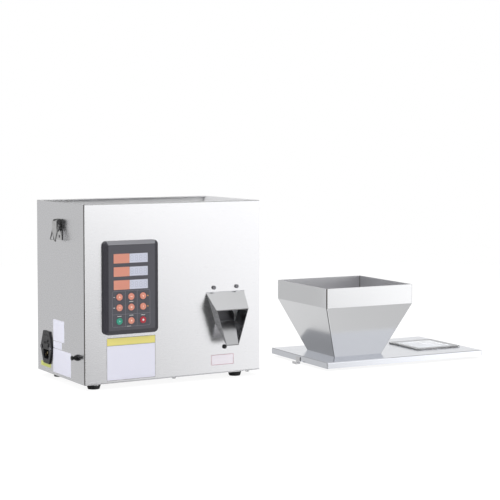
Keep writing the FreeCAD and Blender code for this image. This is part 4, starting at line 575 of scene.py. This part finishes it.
def soft_light(name, place, aim, wide, high, power):
    """A rectangular soft light that looks at a point."""
    lamp = bpy.data.lights.new(name, "AREA")
    lamp.shape = "RECTANGLE"
    lamp.size, lamp.size_y, lamp.energy = wide, high, power
    holder = bpy.data.objects.new(name, lamp)
    holder.location = place
    holder.rotation_euler = (Vector(aim) - Vector(place)).to_track_quat("-Z", "Y").to_euler()
    holder.visible_glossy = False
    bpy.context.scene.collection.objects.link(holder)


soft_light("key_light", (1.3, -2.2, 1.7), (0, 0, 0.15), 1.6, 1.2, 18)
soft_light("top_light", (-0.2, 0.2, 2.4), (0, 0, 0), 1.8, 1.4, 48)
soft_light("side_light", (-2.4, -0.6, 1.2), (0, 0, 0.15), 1.4, 1.2, 28)

# Room: pale walls that the steel mirrors. Each patch is a direction, the closeness to it at which the patch
# starts and at which it is full, and its strength. The camera sees the room white.

ROOM_ALL = 0.06
ROOM_PATCHES = [
    ((0.6047, -0.7962, 0.0202), 0.93, 1.0, 0.715),
    ((0.4111, -0.7069, 0.5756), 0.68, 0.86, 0.538),
    ((0.66, -0.68, -0.32), 0.92, 1.0, 0.68),
    ((0.36, -0.93, 0.08), 0.98, 1.0, 0.85),
    ((0.4962, -0.1588, 0.8535), 0.75, 1.0, 0.16),
    ((0.499, -0.499, -0.7085), 0.75, 1.0, 0.500),
    ((-0.2562, 0.8197, -0.5123), 0.93, 1.0, 0.450),
    ((-0.502, 0.8634, 0.0502), 0.75, 1.0, 0.470),
    ((0.5001, 0.8602, 0.1), 0.85, 1.0, 0.730),
    ((0.9988, 0.0, 0.0499), 0.7, 1.0, 0.300),
    ((-0.1, 0.5, 0.86), 0.9, 1.0, 0.300),
    ((0.0, 0.0, 1.0), 0.8, 1.0, 0.350),
    ((-0.9936, -0.0507, 0.1014), 0.7, 1.0, 0.360),
    ((-0.8126, -0.5518, -0.19), 0.955, 1.0, 0.70),
    ((0.72, 0.62, -0.3), 0.85, 1.0, 0.5),
    ((0.04, -0.96, -0.27), 0.96, 1.0, 0.45),
    ((0.1, -0.35, -0.93), 0.85, 1.0, 0.5),
    ((-0.3304, -0.6208, 0.7109), 0.8, 1.0, 0.250),
    ((0.0, 0.9988, 0.0499), 0.8, 1.0, 0.100),
    ((0.08, 0.95, -0.3), 0.94, 1.0, 0.5),
]
world = bpy.data.worlds.new("studio")
bpy.context.scene.world = world
world.use_nodes = True
tree = world.node_tree
background = tree.nodes["Background"]
background.inputs["Color"].default_value = (1, 1, 1, 1)
direction = tree.nodes.new("ShaderNodeTexCoord")
base = tree.nodes.new("ShaderNodeValue")
base.outputs[0].default_value = ROOM_ALL
room = base.outputs[0]
for axis, start, end, strength in ROOM_PATCHES:
    toward = tree.nodes.new("ShaderNodeVectorMath")
    toward.operation = "DOT_PRODUCT"
    toward.inputs[1].default_value = axis
    shade = tree.nodes.new("ShaderNodeMapRange")
    shade.interpolation_type = "SMOOTHSTEP"
    for socket, value in (("From Min", start), ("From Max", end), ("To Min", 0), ("To Max", strength)):
        shade.inputs[socket].default_value = value
    tree.links.new(direction.outputs["Generated"], toward.inputs[0])
    tree.links.new(toward.outputs["Value"], shade.inputs["Value"])
    total = tree.nodes.new("ShaderNodeMath")
    tree.links.new(room, total.inputs[0])
    tree.links.new(shade.outputs["Result"], total.inputs[1])
    room = total.outputs[0]
ray = tree.nodes.new("ShaderNodeLightPath")
white = tree.nodes.new("ShaderNodeMix")
white.inputs["B"].default_value = 1.0
tree.links.new(room, white.inputs["A"])
tree.links.new(ray.outputs["Is Camera Ray"], white.inputs["Factor"])
tree.links.new(white.outputs["Result"], background.inputs["Strength"])

# Camera: a long lens in front on the left, 30 degrees round from the machine's face and a little above it,
# that looks 3 degrees down.

camera_data = bpy.data.cameras.new("camera")
camera_data.sensor_width = 36
camera_data.lens = 103.67
camera_data.shift_y = -0.08
camera = bpy.data.objects.new("camera", camera_data)
camera.location = (-1.3741, -2.2961, 0.4327)
camera.rotation_euler = (math.radians(90 - 3.01), 0, math.radians(-30.197))
bpy.context.scene.collection.objects.link(camera)
bpy.context.scene.camera = camera
bpy.context.scene.view_settings.view_transform = "Standard"
